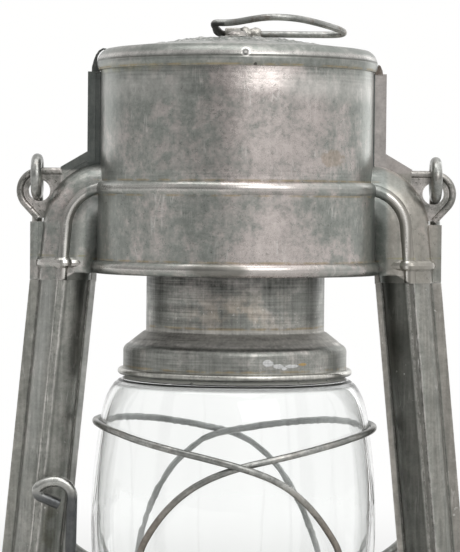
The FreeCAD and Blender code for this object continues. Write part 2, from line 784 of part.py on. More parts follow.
def make_globe():
    save("globe_glass", glass_solid(0, 0).cut(glass_solid(glass_wall, 2)))


# Height of a guard wire over its angle from the front crossing, towards the side that it loops round
guard_heights = [(-50, 0.13), (-45, 0.33), (-38, 0.495), (-27.5, 0.61), (-13, 0.695), (0, 0.747),
                 (34, 0.797), (62, 0.821), (90, 0.831)]


def guard_point(angle, share, bowed):
    """A point of a guard wire; the bowed wire passes outside the other where they cross."""
    z = z_glass + glass_height * share
    r = glass_wire_radius(z)
    if bowed:
        r += (guard_wire + 0.15) * math.exp(-(angle / 11.0) ** 2)
    a = math.radians(angle)
    return V(r * math.sin(a), -r * math.cos(a), z)


def glass_wire_radius(z):
    full = glass_belly + guard_gap + guard_wire / 2
    if z > z_belly:
        lean = (z - z_belly) / (glass_height * 0.25)
        return full - 2.2 * lean ** 2
    share = (z_belly - z) / (z_belly - z_glass)
    return full + (plate_radius + guard_wire / 2 + 0.05 - full) * share ** 2


def guard(bowed):
    front = [guard_point(a, s, bowed) for a, s in guard_heights]
    low_angle = guard_heights[0][0] - 1.5
    a = math.radians(low_angle)
    r_low = plate_radius + guard_wire / 2 + 0.05
    low = [V(r_low * math.sin(a), -r_low * math.cos(a), z_plate + 0.6)]
    front = low + front
    rear = [V(p.x, -p.y, p.z) for p in reversed(front[:-1])]
    points = front + rear
    tangents = []
    for i, p in enumerate(points):
        before = points[max(i - 1, 0)]
        after = points[min(i + 1, len(points) - 1)]
        u, w = p - before, after - p
        if i in (0, len(points) - 1):
            tangents.append(V(0, 0, 1 if i == 0 else -1))
        else:
            blend = u * (w.Length / u.Length) + w * (u.Length / w.Length)
            tangents.append(blend.normalize())
    return wire_tube(smooth_path(points, tangents), guard_wire)


def make_guards():
    save("guard_wire_right", guard(False))
    save("guard_wire_left", mirrored_x(guard(True)))


# Chimney
def make_chimney():
    z0 = z_lip + 1.0
    r, s, t = chimney_radius, skirt_radius, thin_sheet
    z_cone = z0 + skirt_height
    z_tube = z_cone + cone_height
    fit, tuck = r - t - running, r - 2 * t - running
    skirt = spun([(s - t, z0 + 0.2), (s, z0 + 0.2), (s, z_cone - 1.2), (s - 0.4, z_cone - 0.2, "arc"),
                  (s - 1.3, z_cone + 0.6), (r + 0.9, z_tube - 0.6), (r + 0.25, z_tube - 0.3, "arc"),
                  (r, z_tube), (fit, z_tube), (fit, z_tube + 1.8), (tuck, z_tube + 1.8),
                  (tuck, z_tube - 0.8), (s - t - 1.2, z_cone - 0.2), (s - t, z_cone - 1.5)])
    lip = Part.makeTorus(s + lip_wire - 0.35, lip_wire, V(0, 0, z0))
    save("chimney_skirt", one(skirt.fuse(lip)))
    top = z_tube + chimney_length
    tube = ring(r - t, r, z_tube, top)
    save("chimney_tube", tube)
    z_bridge = top - 6.0
    w = 4.5
    inner = r - t - 0.1
    cross = box(-inner, inner, -w, w, z_bridge, z_bridge + 1.0)
    legs = box(inner - 1.0, inner, -w, w, z_bridge - 6, z_bridge + 1.0)
    bridge = cross.fuse(both_sides(legs)).common(Part.makeCylinder(inner, 60, V(0, 0, z_bridge - 30)))
    bridge = bridge.cut(Part.makeCylinder(shank_radius, 6, V(0, 0, z_bridge - 2)))
    save("chimney_bridge", one(bridge))
    return z_bridge


def make_pull(z_bridge, z_lid):
    z_foot = z_lid + clear
    low = z_bridge - 1.0
    shank = Part.makeCylinder(shank_radius, z_foot + strap_sheet + 0.4 - low, V(0, 0, low))
    nut = Part.makeCylinder(shank_radius + 1.8, 1.5, V(0, 0, z_bridge - 1.5))
    shoulder = Part.makeCylinder(shank_radius + 1.4, 1.4, V(0, 0, z_bridge + 1.0))
    z_head = z_foot + strap_sheet
    head = spun([(0, z_head), (3.2, z_head), (2.6, z_head + 1.1, "arc"), (1.2, z_head + 1.7),
                 (0, z_head + 1.7)])
    save("pull_shank", one(shank.fuse([nut, shoulder, head])))

    bore = loop_wire / 2 + running
    out = bore + strap_sheet
    z_bar, y_bar = z_foot + out, loop_offset
    width = strap_left + strap_right
    roll = Part.makeCylinder(out, width, V(-strap_left, y_bar, z_bar), X_AXIS)
    gap = box(strap_left * 0.2, strap_left * 0.2 + strap_gap, 0, y_bar + 5, z_foot, z_bar + 5)
    foot = box(-strap_left, strap_right, -4.4, y_bar, z_foot, z_foot + strap_sheet)
    strap = roll.fuse(foot).cut(Part.makeCylinder(bore, 40, V(-20, y_bar, z_bar), X_AXIS))
    strap = strap.cut([gap.cut(box(-9, 9, -9, 3.2, 0, 400)),
                       Part.makeCylinder(shank_radius, 8, V(0, 0, z_foot - 2))])
    save("ring_strap", one(strap))

    # A finger loop bent from wire: a straight bar in the strap, a short left side, a worn point
    left = -strap_left - 2.9
    flat = [V(left, 0, 0), V(left + 0.3, -13.2, 0), V(5.6, -19.8, 0), V(18.2, -18.9, 0),
            V(34.6, -2.6, 0), V(30.0, 0, 0)]
    loop = wire_tube(rounded_path(flat, [2.2, 4.5, 10.0, 12.0, 2.6, 5.0], closed=True), loop_wire)
    loop.rotate(V(), X_AXIS, -loop_tilt)
    loop.translate(V(0, y_bar, z_bar))
    save("lift_ring", loop)
    return y_bar, z_bar


# Bail, drawn hanging straight down and then leaned back
def make_bail():
    axis_x = ear_x + 0.7
    z_axis = z_ear + 4.2
    low = z_axis - bail_length
    right = [pt(axis_x, z_axis - eye_radius), pt(axis_x, z_axis - eye_radius - 5),
             pt(axis_x + 0.9, z_axis - eye_radius - 18), pt(axis_x + bail_flare, low)]
    left = [pt(-p.x, p.z) for p in reversed(right)]
    radii = [0, 20, 30, bail_corner, bail_corner, 30, 20, 0]
    bow = wire_tube(rounded_path(right + left, radii), bail_wire)
    eye = Part.makeTorus(eye_radius, bail_wire / 2, pt(axis_x, z_axis), X_AXIS)
    bail = one(bow.fuse([eye, mirrored_x(eye)]))
    bail.rotate(pt(0, z_axis), X_AXIS, bail_lean)
    save("bail", bail)
    return z_axis


# Globe lever, its bracket and pin
def make_lever():
    """The thumb hook and leg, one turn of the same wire round the pin, and the arm under the plate."""
    er = pin_radius + pin_play + lever_wire / 2
    px = -(chamber_radius + 16.0)
    pz = z_chamber_top + clear + lever_wire / 2 + er
    y_leg, y_arm = lever_y - wire_step, lever_y + wire_step
    top = z_plate + hook_height
    leg_x = -(glass_belly + 4.7)
    hook = [V(leg_x - 4.3, y_leg + 2.0, top - 0.3), V(leg_x - 12.5, y_leg, top + 3.4),
            V(leg_x - 7.0, y_leg, top + 6.9), V(leg_x - 0.1, y_leg, top + 6.1),
            V(leg_x - 0.5, y_leg, top - 16), V(px - er, y_leg, pz + 7), V(px - er, y_leg, pz)]
    edges = rounded_path(hook, [0, 1.9, 8.0, 4.5, 40, 30, 0])
    coil, headings = [], []
    for k in range(6):
        a = math.radians(180 + 90 * k)
        share = min(1, max(0, (k - 0.5) / 4))
        slide = 2 * wire_step / 4 / (er * math.pi / 2) if 0 < k < 5 else 0
        coil.append(V(px + er * math.cos(a), y_leg + 2 * wire_step * share, pz + er * math.sin(a)))
        headings.append(V(-math.sin(a), slide, math.cos(a)).normalize())
    edges += smooth_path(coil, headings)
    edges.append(Part.makeLine(coil[-1], V(px + lever_arm, y_arm, coil[-1].z)))
    save("globe_lever", wire_tube(edges, lever_wire))

    face = -(tube_depth + ridge_rise)
    plate = box(px - 5, px + 5, face - bracket_sheet, face, pz - 15.5, pz + 4.5)
    save("lever_bracket", plate.cut(Part.makeCylinder(pin_radius, 30, V(px, -25, pz), Y_AXIS)))
    y_head = y_leg - lever_wire / 2 - clear
    pin = Part.makeCylinder(pin_radius, face - y_head, V(px, y_head, pz), Y_AXIS)
    head = Part.makeCylinder(pin_radius + 1.6, 1.0, V(px, y_head - 1.0, pz), Y_AXIS)
    save("lever_pin", one(pin.fuse(head)))
    return px, pz


make_hood()
z_lid_top = make_lid()
make_throat_plate()
outer_tube = make_tubes()
make_tank()
make_filler()
make_chamber(outer_tube)
make_burner()
make_globe_plate()
make_globe()
make_guards()
bridge_level = make_chimney()
loop_y, loop_z = make_pull(bridge_level, z_lid_top)
bail_z = make_bail()
lever_x, lever_z = make_lever()
print("levels", z_tank_top, z_chamber_top, z_plate, z_glass, z_glass_top, z_lip, z_hood, z_drum_top)
print("bend", bend_centre, "ear", ear_x, z_ear, "lid", z_lid_top)
print("bail axis", bail_z, "loop axis", loop_y, loop_z, "lever pin", lever_x, lever_z)
print("shaft", shaft_offset, z_shaft, "wick top", z_wick_top)
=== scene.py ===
# %% [markdown]
# A storm lantern of tinned sheet steel, seen close and from the front. Its shapes come ready made as
# a fixed frame, one object for each piece of metal or glass. This script gives each of them a finish,
# makes the few pieces that need a richer form, and builds a small photo studio around the lantern.

# %% Load the frame
import math
import bmesh
import bpy
from mathutils import Matrix, Vector, noise


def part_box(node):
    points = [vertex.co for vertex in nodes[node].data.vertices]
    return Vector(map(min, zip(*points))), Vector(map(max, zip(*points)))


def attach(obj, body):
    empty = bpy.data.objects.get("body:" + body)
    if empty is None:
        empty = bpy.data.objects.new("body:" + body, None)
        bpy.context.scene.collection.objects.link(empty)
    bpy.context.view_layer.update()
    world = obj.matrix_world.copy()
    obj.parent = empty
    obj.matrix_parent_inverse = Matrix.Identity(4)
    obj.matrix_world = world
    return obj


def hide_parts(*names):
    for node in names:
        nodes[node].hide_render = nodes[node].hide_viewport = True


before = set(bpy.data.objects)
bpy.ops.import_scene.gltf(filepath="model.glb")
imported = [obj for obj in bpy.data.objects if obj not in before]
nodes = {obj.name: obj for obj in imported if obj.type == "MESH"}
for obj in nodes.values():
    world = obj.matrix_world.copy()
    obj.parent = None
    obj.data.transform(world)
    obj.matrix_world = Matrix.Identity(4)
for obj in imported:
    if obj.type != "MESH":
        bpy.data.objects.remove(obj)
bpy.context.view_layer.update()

print("pieces in the frame:", len(nodes))

# %% [markdown]
# The camera comes first, because everything is judged through it. The picture was taken from level
# with the hood's elbows, about three quarters of a metre away, with a long lens. A long lens keeps the
# side tubes almost parallel. The camera leans half a degree, so the lantern does too in the picture.

# %% The camera
eye = Vector((-0.00167, -0.771, 0.2145))
look_down = math.radians(1.69)
lean = math.radians(0.53)

camera_data = bpy.data.cameras.new("camera")
camera_data.lens = 167.6
camera_data.sensor_width = 36
camera = bpy.data.objects.new("camera", camera_data)
bpy.context.scene.collection.objects.link(camera)
camera.matrix_world = (Matrix.Translation(eye) @ Matrix.Rotation(math.pi / 2 - look_down, 4, "X")
                       @ Matrix.Rotation(lean, 4, "Z"))
bpy.context.scene.camera = camera
bpy.context.scene.view_settings.view_transform = "Standard"
print("camera", [round(v, 4) for v in eye], "lens", camera_data.lens)

# %% [markdown]
# Finishes are sums of noise, masks and colours. Wiring such sums by hand takes many lines, so a small
# class wraps one socket of a node tree: a sum or a product of two of them adds the Math node itself,
# and the formula can be read as it is written.

# %% A class for shader maths
class Value:
    """One output socket of a node tree."""

    def __init__(self, owner, socket):
        self.owner = owner
        self.socket = socket

    def math(self, operation, *others):
        inputs = {i: v for i, v in enumerate((self,) + others)}
        return self.owner.node("Math", {"operation": operation}, inputs)

    def __add__(self, other):
        return self.math("ADD", other)

    def __sub__(self, other):
        return self.math("SUBTRACT", other)

    def __mul__(self, other):
        return self.math("MULTIPLY", other)

    def __rsub__(self, other):
        return self.owner.node("Math", {"operation": "SUBTRACT"}, {0: other, 1: self})

    __radd__ = __add__
    __rmul__ = __mul__

    def power(self, exponent):
        return self.math("POWER", exponent)

    def between(self, low, high):
        """Rises smoothly from 0 at low to 1 at high."""
        return self.owner.node("MapRange", {"interpolation_type": "SMOOTHSTEP"},
                               {"Value": self, "From Min": low, "From Max": high})

    def near(self, place, width):
        """1 at place, falling to 0 at width from it."""
        return 1 - (self - place).math("ABSOLUTE").between(0.0, width)

    def size(self):
        return self.math("ABSOLUTE")

    def most(self, other):
        return self.math("MAXIMUM", other)


def length(across, up):
    """The distance of a point from 0 in a plane."""
    return (across * across + up * up).power(0.5)


# %% [markdown]
# Every other node comes from one method. It takes the node's type, its settings, which are set first, and
# what goes into its sockets: a number, a colour, or a link from another node.

# %% Adding nodes
class NodeTree:
    """A node tree, with the one method that adds nodes to it."""

    def __init__(self, tree):
        self.tree = tree

    def node(self, kind, settings=None, inputs=None, output=0):
        made = self.tree.nodes.new("ShaderNode" + kind)
        for key, value in (settings or {}).items():
            setattr(made, key, value)
        for key, value in (inputs or {}).items():
            self.feed(made.inputs[key], value)
        return Value(self, made.outputs[output])

    def feed(self, socket, value):
        if isinstance(value, Value):
            self.tree.links.new(value.socket, socket)
        else:
            socket.default_value = value

    def split(self, vector):
        """The x, y and z of a vector."""
        first = self.node("SeparateXYZ", {}, {0: vector})
        return [Value(self, socket) for socket in first.socket.node.outputs]


# %% [markdown]
# A finish starts with a Principled shader and the place of each point on the piece. Object coordinates
# move with a piece, so a pattern never slides over it. Each method makes one kind of pattern or mask.

# %% A class for a material
class Paint(NodeTree):
    """A material with its Principled shader, and the patterns and masks that finishes are made of."""

    def __init__(self, name, **settings):
        self.material = bpy.data.materials.new(name)
        self.material.use_nodes = True
        super().__init__(self.material.node_tree)
        self.shader = self.tree.nodes["Principled BSDF"]
        self.place = self.node("TexCoord", output="Object")
        self.x, self.y, self.z = self.split(self.place)
        for socket, value in settings.items():
            self.shader.inputs[socket.replace("_", " ")].default_value = value

    def stretched(self, x, y, z, turn=0.0):
        """The place, turned about Y and then scaled: a small scale draws a pattern out."""
        return self.node("Mapping", {}, {"Vector": self.place, "Rotation": (0, turn, 0), "Scale": (x, y, z)})

    def noise(self, size, detail=3.0, place=None, roughness=0.5):
        """Soft noise whose blotches are about size metres wide."""
        return self.node("TexNoise", {}, {"Vector": place or self.place, "Scale": 1 / size,
                                          "Detail": detail, "Roughness": roughness})

    def mixed(self, factor, a, b):
        """Colour a where factor is 0 and colour b where it is 1."""
        colours = [tuple(c) + (1.0,) if isinstance(c, tuple) and len(c) == 3 else c for c in (a, b)]
        return self.node("Mix", {"data_type": "RGBA"}, {0: factor, 6: colours[0], 7: colours[1]}, 2)

    def shaded(self, colour, amount):
        """A colour made darker or brighter by a value around 1."""
        grey = self.node("CombineColor", {}, {0: amount, 1: amount, 2: amount})
        settings = {"data_type": "RGBA", "blend_type": "MULTIPLY"}
        return self.node("Mix", settings, {0: 1.0, 6: colour, 7: grey}, 2)

    def bumped(self, height):
        """Height is in metres."""
        return self.node("Bump", {}, {"Height": height, "Distance": 1.0, "Strength": 1.0})

    def creases(self, reach):
        """0 in the open, and near 1 in a crease narrower than reach."""
        settings = {"samples": 6, "only_local": True}
        return 1 - self.node("AmbientOcclusion", settings, {"Distance": reach}, "AO")

    def edges(self, reach):
        """0 on smooth metal, and above 0 within reach of a sharp edge."""
        rounded = self.node("Bevel", {"samples": 4}, {"Radius": reach})
        true = self.node("NewGeometry", output="Normal")
        return 1 - self.node("VectorMath", {"operation": "DOT_PRODUCT"}, {0: rounded, 1: true}, "Value")

    def finish(self, **sockets):
        for socket, value in sockets.items():
            self.feed(self.shader.inputs[socket.replace("_", " ")], value)
        return self.material

    def overlaid(self, share, shader):
        """Puts a second shader over the Principled one, where share is 1."""
        own = Value(self, self.shader.outputs[0])
        mix = self.node("MixShader", {}, {0: share, 1: own, 2: shader})
        self.tree.links.new(mix.socket, self.tree.nodes["Material Output"].inputs["Surface"])


# %% [markdown]
# A finish goes onto a piece of the frame by its name. A new piece rides on one of the lantern's bodies,
# and says which plain pieces it stands for, so that they are hidden.

# %% Dressing and adding pieces
def dress(material, *names):
    for name in names:
        for entry in nodes[name].material_slots:
            entry.material = material


def add_piece(name, mesh, body, slot, material, *replaced):
    """Makes a bmesh or a mesh a piece that moves with a body, and may stand for nodes of the frame."""
    if isinstance(mesh, bmesh.types.BMesh):
        data = bpy.data.meshes.new(name)
        mesh.to_mesh(data)
        mesh.free()
    else:
        data = mesh
    data.materials.append(material)
    made = bpy.data.objects.new(name, data)
    bpy.context.scene.collection.objects.link(made)
    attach(made, body)
    if replaced:
        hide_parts(*replaced)
    print("piece", name, "faces", len(data.polygons))


# %% [markdown]
# Old tinned sheet is never one colour. Where hands rub it, the tin is bright, smooth and slightly pink.
# Elsewhere a dull green grey bloom grows. Pits and specks cover both, creases are darkened for dirt and
# painted shade, and edges are worn bright. Layers are easier to think about than one long sum, so a
# metal's finish starts with one colour, and each step covers part of it with the next.

# %% Metal in layers
bright_tin = (0.475, 0.43, 0.41)
dull_tin = (0.315, 0.33, 0.305)
pit_dark = (0.075, 0.075, 0.065)
worn_white = (0.72, 0.70, 0.67)
# A near black for dirt and for painted shade in creases and gutters.
dirt_and_shade = (0.055, 0.055, 0.045)
stain_brown = (0.34, 0.255, 0.125)


class Metal(Paint):
    """A metal finish that is laid on in steps: colour, roughness and relief."""

    def __init__(self, name, colour, rough):
        super().__init__(name)
        self.radius = length(self.x, self.y)
        self.colour, self.rough, self.relief, self.shade, self.metal = colour, rough, 0.0, 1.0, 0.82
        self.clouds = self.noise(0.020, 3)
        self.patches = self.noise(0.0060, 4, roughness=0.65)
        self.flecks = self.noise(0.0017, 3, roughness=0.7)
        self.specks = self.noise(0.0007, 2)

    def cover(self, mask, colour, rough=None, metal=None):
        """Lays a colour where mask is 1, with a roughness and a share of bare metal if they are given."""
        self.colour = self.mixed(mask, self.colour, colour)
        if rough is not None:
            self.rough = self.rough + mask * (rough - self.rough)
        if metal is not None:
            self.metal = self.metal + mask * (metal - self.metal)

    def rubbed(self, level, colour, rough, more=0.0):
        """Broken patches of a second colour: more of them where level is low or more is high."""
        blend = self.clouds * 0.36 + self.patches * 0.36 + self.flecks * 0.28 + more
        self.cover(blend.between(level - 0.075, level + 0.105), colour, rough, 1.0)

    def pitted(self, amount):
        self.cover(self.specks.between(0.60, 0.70) * amount, pit_dark, 0.55)
        spots = self.noise(0.0042, 4, roughness=0.75)
        self.cover(spots.between(0.58, 0.78) * amount * 0.7, pit_dark, 0.5)

    def mottled(self, amount, grain=1.0, calm=0.0):
        """Blotches, grain and upright runs of light and dark. Where calm is 1, the metal stays smooth."""
        runs = self.noise(0.0016, 3, self.stretched(1, 1, 0.10))
        blotches = (self.patches - 0.5) * 1.1 + (self.clouds - 0.5) * 0.5 + (runs - 0.5) * 0.4
        grains = (self.flecks - 0.5) * 0.8 + (self.specks - 0.5) * 0.5
        open_metal = 1 - calm
        self.shade = self.shade + (blotches + grains) * open_metal * amount
        fine_relief = self.flecks * (0.000030 * grain) + self.specks * (0.000010 * grain)
        self.relief = self.relief + fine_relief * open_metal
        self.rough = self.rough + (self.flecks - 0.5) * open_metal * (0.30 * grain)

    def brushed(self, amount, across=1.0, upright=0.0):
        """Fine lines that the rolls or a brush left, round the piece and up it."""
        round_lines = self.noise(0.0006, 2, self.stretched(0.04, 0.04, 1.0))
        up_lines = self.noise(0.0009, 2, self.stretched(1.0, 1.0, 0.03))
        lines = (round_lines - 0.5) * across + (up_lines - 0.5) * upright
        self.shade = self.shade + lines * amount
        self.relief = self.relief + lines * 0.000012

    def dented(self, amount):
        self.relief = self.relief + (self.noise(0.024, 2) * 0.00030 + self.patches * 0.00006) * amount

    def scratched(self, amount, turns=(0.35, -0.9)):
        """Fine bright scratches: a stretched noise is crossed along thin lines."""
        for turn in turns:
            lines = self.noise(0.0030, 1, self.stretched(1, 1, 0.07, turn))
            thin = lines.near(0.5, 0.012) * self.noise(0.008, 2).between(0.52, 0.64)
            self.cover(thin * amount, worn_white, 0.3)

    def grimed_and_shaded(self, reach, amount):
        # Darkens the creases that an Ambient Occlusion node finds: dirt, and painted shade where ambient
        # light is blocked.
        crease = self.creases(reach).between(0.30, 0.85) * (0.65 + self.patches * 0.7)
        self.cover(crease * amount, dirt_and_shade, 0.6, 0.2)

    def edge_worn(self, reach, amount):
        edge = self.edges(reach).between(0.02, 0.22) * self.flecks.between(0.34, 0.58)
        self.cover(edge * amount, worn_white, 0.28, 1.0)

    def spot(self, x, z, wide, high):
        """A ragged spot on the front, x and z in millimetres from the base's centre."""
        across = (self.x - x / 1000) * (1000 / wide)
        up = (self.z - z / 1000) * (1000 / high)
        away = length(across, up) + (self.flecks - 0.5) * 1.6
        return (1 - away.between(0.8, 1.1)) * (0 - self.y).between(0.0, 0.004)

    def stained(self, heights, width, reach=1.0, amount=0.85):
        """Thin lines of brown stain at the given heights, within a radius of the middle."""
        inside = 1 - self.radius.between(reach - 0.0006, reach)
        creep = self.noise(0.0055, 4, self.stretched(1, 1, 2.5), 0.65)
        for height in heights:
            line = self.z.near(height, width) * creep.between(0.40, 0.56)
            self.cover(line * inside * amount, stain_brown, 0.5, 0.3)

    def done(self):
        colour = self.shaded(self.colour, self.shade)
        return self.finish(Base_Color=colour, Roughness=self.rough, Metallic=self.metal,
                           Normal=self.bumped(self.relief))


print("tin colours", bright_tin, dull_tin)

# %% [markdown]
# The hood's wear follows its shape, so its places are named first: the drum and its bead, the rim, the
# collar at the foot of each arm, and the bend of the bead that arches over each elbow. Most heights come
# from the piece's own box, so a stain stays in its fold from every side. Several steps need the same
# masks, so a class of the hood's own keeps them.

# %% Places on the hood
hood_low, hood_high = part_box("hood_front")
lid_low, lid_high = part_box("hood_lid")
drum_foot = hood_high.z - 0.0343
bead_middle = drum_foot - 0.0020
rim_top = hood_low.z + 0.0062
rim_foot = hood_low.z + 0.0022
bend_x, bend_z, bend_radius = 0.0384, 0.2060, 0.0120
collar_middle = hood_low.z + 0.0052
drum_radius = 0.0434
arm_start = 0.0440


class HoodTin(Metal):
    """The hood's metal, with the masks for its drum, its arms and its beads."""

    def __init__(self):
        super().__init__("hood tin", dull_tin, 0.33)
        x, y, z, radius = self.x, self.y, self.z, self.radius
        self.beyond = x.size().between(arm_start, arm_start + 0.0012)
        self.on_drum = 1 - radius.between(drum_radius, drum_radius + 0.0006)
        self.on_seam = 1 - y.size().between(0.0030, 0.0040)
        crest = radius.between(0.0416, 0.0420) * z.near(bead_middle, 0.0018)
        crest = crest.most(radius.between(0.0427, 0.0433) * z.near(rim_top - 0.0020, 0.0018)) * self.on_drum
        arch = y.size().between(0.0083, 0.0092) * self.beyond
        bend_across = (x.size() - bend_x).most(0.0)
        bend_up = (z - bend_z).most(0.0)
        self.from_bead = length(bend_across, bend_up) - bend_radius
        collar = z.near(collar_middle, 0.0017) * self.beyond
        self.beads = crest.most(arch).most(collar)


print("hood from", round(hood_low.z, 4), "to", round(lid_high.z, 4))

# %% [markdown]
# Hands rubbed the hood most just right of its middle. Its beads stand proud, so their crests are worn
# bright and smooth, and their bright colour is also a painted highlight, dimmed right of the middle as
# painted shade. Patches come from noise, and beads from their place, so the two look different.

# %% Rubbed sheet and bright beads
def rub_hood(tin):
    handled = tin.x.near(0.010, 0.034) * 0.13 - tin.x.between(0.016, 0.030) * 0.03
    tin.rubbed(0.545, bright_tin, 0.27, handled)
    tin.pitted(0.35)
    tin.scratched(0.4)
    # Bead crests: worn tin and a painted highlight, dimmed right of the middle as painted shade.
    tin.cover(tin.beads * (0.55 - tin.x.between(0.012, 0.024) * 0.35), (0.53, 0.505, 0.48), 0.20, 1.0)


hood_tin = HoodTin()
rub_hood(hood_tin)
print("hood rubbed with", len(hood_tin.tree.nodes), "nodes")

# %% [markdown]
# A sheet looks old through large soft differences: a pale smudge on the left of the drum and a warmer
# right arm. A pale band below the lid is a painted highlight, and darker patches on the left of the drum
# and on the middle of the rim are painted shade. Each is a product of soft steps across and up. The grain
# comes after them, so it runs through all of them, but it stays off the polished beads.

# %% Regions of the drum
def shade_drum(tin):
    x, y, z, on_drum = tin.x, tin.y, tin.z, tin.on_drum
    smudge = x.near(-0.0205, 0.0075) * z.between(drum_foot, drum_foot + 0.006) * (0 - y).between(0.0, 0.01)
    tin.cover(smudge * tin.patches.between(0.44, 0.56) * on_drum * 0.7, (0.47, 0.43, 0.41), 0.30, 1.0)
    warm_side = x.between(arm_start, arm_start + 0.0020) * tin.clouds.between(0.30, 0.55)
    tin.cover(warm_side * 0.6, (0.34, 0.305, 0.265), 0.32)
    # Painted highlight: a pale band on the shoulder below the lid.
    top_band_highlight = z.near(hood_high.z - 0.0070, 0.0060) * x.size().between(0.010, 0.020) * on_drum
    tin.cover(top_band_highlight * (0.35 + tin.clouds * 0.6), (0.58, 0.57, 0.54), 0.38)
    # Painted shade on the left of the drum.
    left_side_shade = x.near(-0.0355, 0.0055) * z.between(drum_foot, drum_foot + 0.002) * on_drum
    tin.cover(left_side_shade * 0.45, (0.22, 0.235, 0.22), 0.36)
    # Painted shade on the middle of the rim.
    rim_shade = x.near(-0.0050, 0.0120) * z.near(rim_top - 0.0020, 0.0030) * on_drum
    tin.cover(rim_shade.between(0.0, 0.45) * 0.85, (0.20, 0.195, 0.175), 0.38)
    folds = z.near(drum_foot, 0.007).most(z.near(lid_low.z, 0.008)) * on_drum
    tin.brushed(folds * 0.8)
    tin.mottled(0.65, 1.0, tin.beads * 0.85)


shade_drum(hood_tin)
print("drum shaded,", len(hood_tin.tree.nodes), "nodes")

# %% [markdown]
# The bead that arches over each elbow is straight, bent and straight again. The distance from that line
# is known everywhere, so thin bands of the distance draw the bead's crest as a painted highlight, and the
# dark edges beside it and the gutter below as painted shade. The web under the left arch is painted
# lighter, as painted light, and the fins and the right shoulder are painted darker, as painted shade.

# %% The arch beads
def line_arch(tin):
    x, y, z, beyond, from_bead = tin.x, tin.y, tin.z, tin.beyond, tin.from_bead
    on_bead = y.size().between(0.0086, 0.0092) * beyond
    # Painted shade beside the bead and a painted highlight on its crest.
    bead_edge_shade = (from_bead + 0.0010).near(0.0, 0.0006).most((from_bead - 0.0013).near(0.0, 0.0006))
    tin.cover(bead_edge_shade * on_bead * 0.45, (0.16, 0.155, 0.14), 0.35)
    tin.cover(from_bead.near(0.0002, 0.0007) * on_bead * 0.85, (0.80, 0.78, 0.74), 0.16, 1.0)
    # Painted shade in the gutter below the bead.
    gutter_shade = from_bead.near(-0.0021, 0.0010) * beyond * z.between(collar_middle, collar_middle + 0.002)
    tin.cover(gutter_shade * 0.30, (0.10, 0.105, 0.095), 0.45)
    # Painted light on the web under the left arch.
    web_light = (0 - x).near(0.0427, 0.0022).between(0.0, 0.4) * y.size().between(0.004, 0.006)
    web_light = web_light * z.between(0.1985, 0.2005) * (1 - z.between(0.2125, 0.2145))
    tin.cover(web_light * 0.45, (0.50, 0.51, 0.49), 0.32)
    # Painted shade on the fins and the right shoulder.
    fin_shade = x.size().between(0.0600, 0.0608) * tin.on_seam
    tin.cover(fin_shade * 0.4, (0.20, 0.20, 0.185), 0.38)
    right_shoulder_shade = z.between(0.2165, 0.2185) * x.between(0.0435, 0.0450)
    tin.cover(right_shoulder_shade * 0.35, (0.24, 0.235, 0.215), 0.36)


line_arch(hood_tin)
print("arch beads lined,", len(hood_tin.tree.nodes), "nodes")

# %% [markdown]
# Creases are darkened for dirt and painted shade, and edges are worn, wherever they are, so both are found
# from the shape: an Ambient Occlusion node sees creases, and a Bevel node sees edges. Damp left thin brown
# lines, which are drawn at the heights of the folds instead, because they lie on one side of a fold only.

# %% Dirt and painted shade, worn edges and damp
def stain_folds(tin):
    # Dirt and painted shade in the creases.
    tin.grimed_and_shaded(0.0020, 0.30)
    tin.edge_worn(0.0006, 0.35)
    fold_heights = (lid_low.z + 0.0002, drum_foot + 0.0002, drum_foot - 0.0042, rim_top + 0.0002)
    tin.stained(fold_heights, 0.0005, drum_radius, 0.6)
    damp = tin.z.near(lid_low.z - 0.0002, 0.0022) * (0 - tin.x).between(0.008, 0.030)
    tin.cover(damp * tin.patches.between(0.38, 0.60) * 0.45, (0.26, 0.255, 0.15), 0.42)
    foot_line = tin.z.near(collar_middle + 0.0021, 0.0005) * tin.beyond * tin.patches.between(0.42, 0.56)
    tin.cover(foot_line * 0.6, (0.30, 0.28, 0.14), 0.5)


stain_folds(hood_tin)
print("folds stained,", len(hood_tin.tree.nodes), "nodes")

# %% [markdown]
# The two half shells are folded together at the sides. The left seam strip is painted dark, as painted
# shade, and the right one bright, partly rubbed and partly painted light. The underside of the arms is
# painted dark, as painted shade. The relief comes last: dents everywhere, and a shoulder that sags a
# little towards the lid.

# %% Side seams and dents
def darken_seams(tin):
    x, y, z, beyond = tin.x, tin.y, tin.z, tin.beyond
    seam_side = tin.radius.between(0.0395, 0.0400) * x.size().between(0.0395, 0.0404) * (1 - beyond)
    tin.cover(seam_side * 0.4, (0.12, 0.135, 0.13), 0.42)
    seam_line = x.size().near(0.0410, 0.0004) * tin.on_seam * (1 - beyond)
    tin.cover(seam_line * z.between(drum_foot, drum_foot + 0.001) * 0.8, (0.035, 0.045, 0.045), 0.45)
    strips = x.size().between(0.0411, 0.0414) * (1 - y.size().between(0.0018, 0.0024))
    strips = strips * z.between(0.2225, 0.2235)
    # Painted shade on the left strip; the right strip is partly rubbed and partly painted light.
    tin.cover(strips * (0 - x).between(0, 0.001) * 0.8, (0.075, 0.085, 0.08), 0.42)
    tin.cover(strips * x.between(0, 0.001) * 0.75, (0.46, 0.42, 0.40), 0.30, 1.0)
    tin.cover(tin.spot(27.4, 226.9, 3.4, 2.5) * 0.4, (0.36, 0.27, 0.19), 0.45)
    # Painted shade under the arms.
    diagonal = x.size() + (z - hood_low.z) * 1.6
    under_arm = (1 - diagonal.between(0.0512, 0.0522)) * (1 - z.between(rim_foot, rim_foot + 0.0006)) * beyond
    tin.cover(under_arm * 0.85, (0.085, 0.088, 0.078), 0.45)


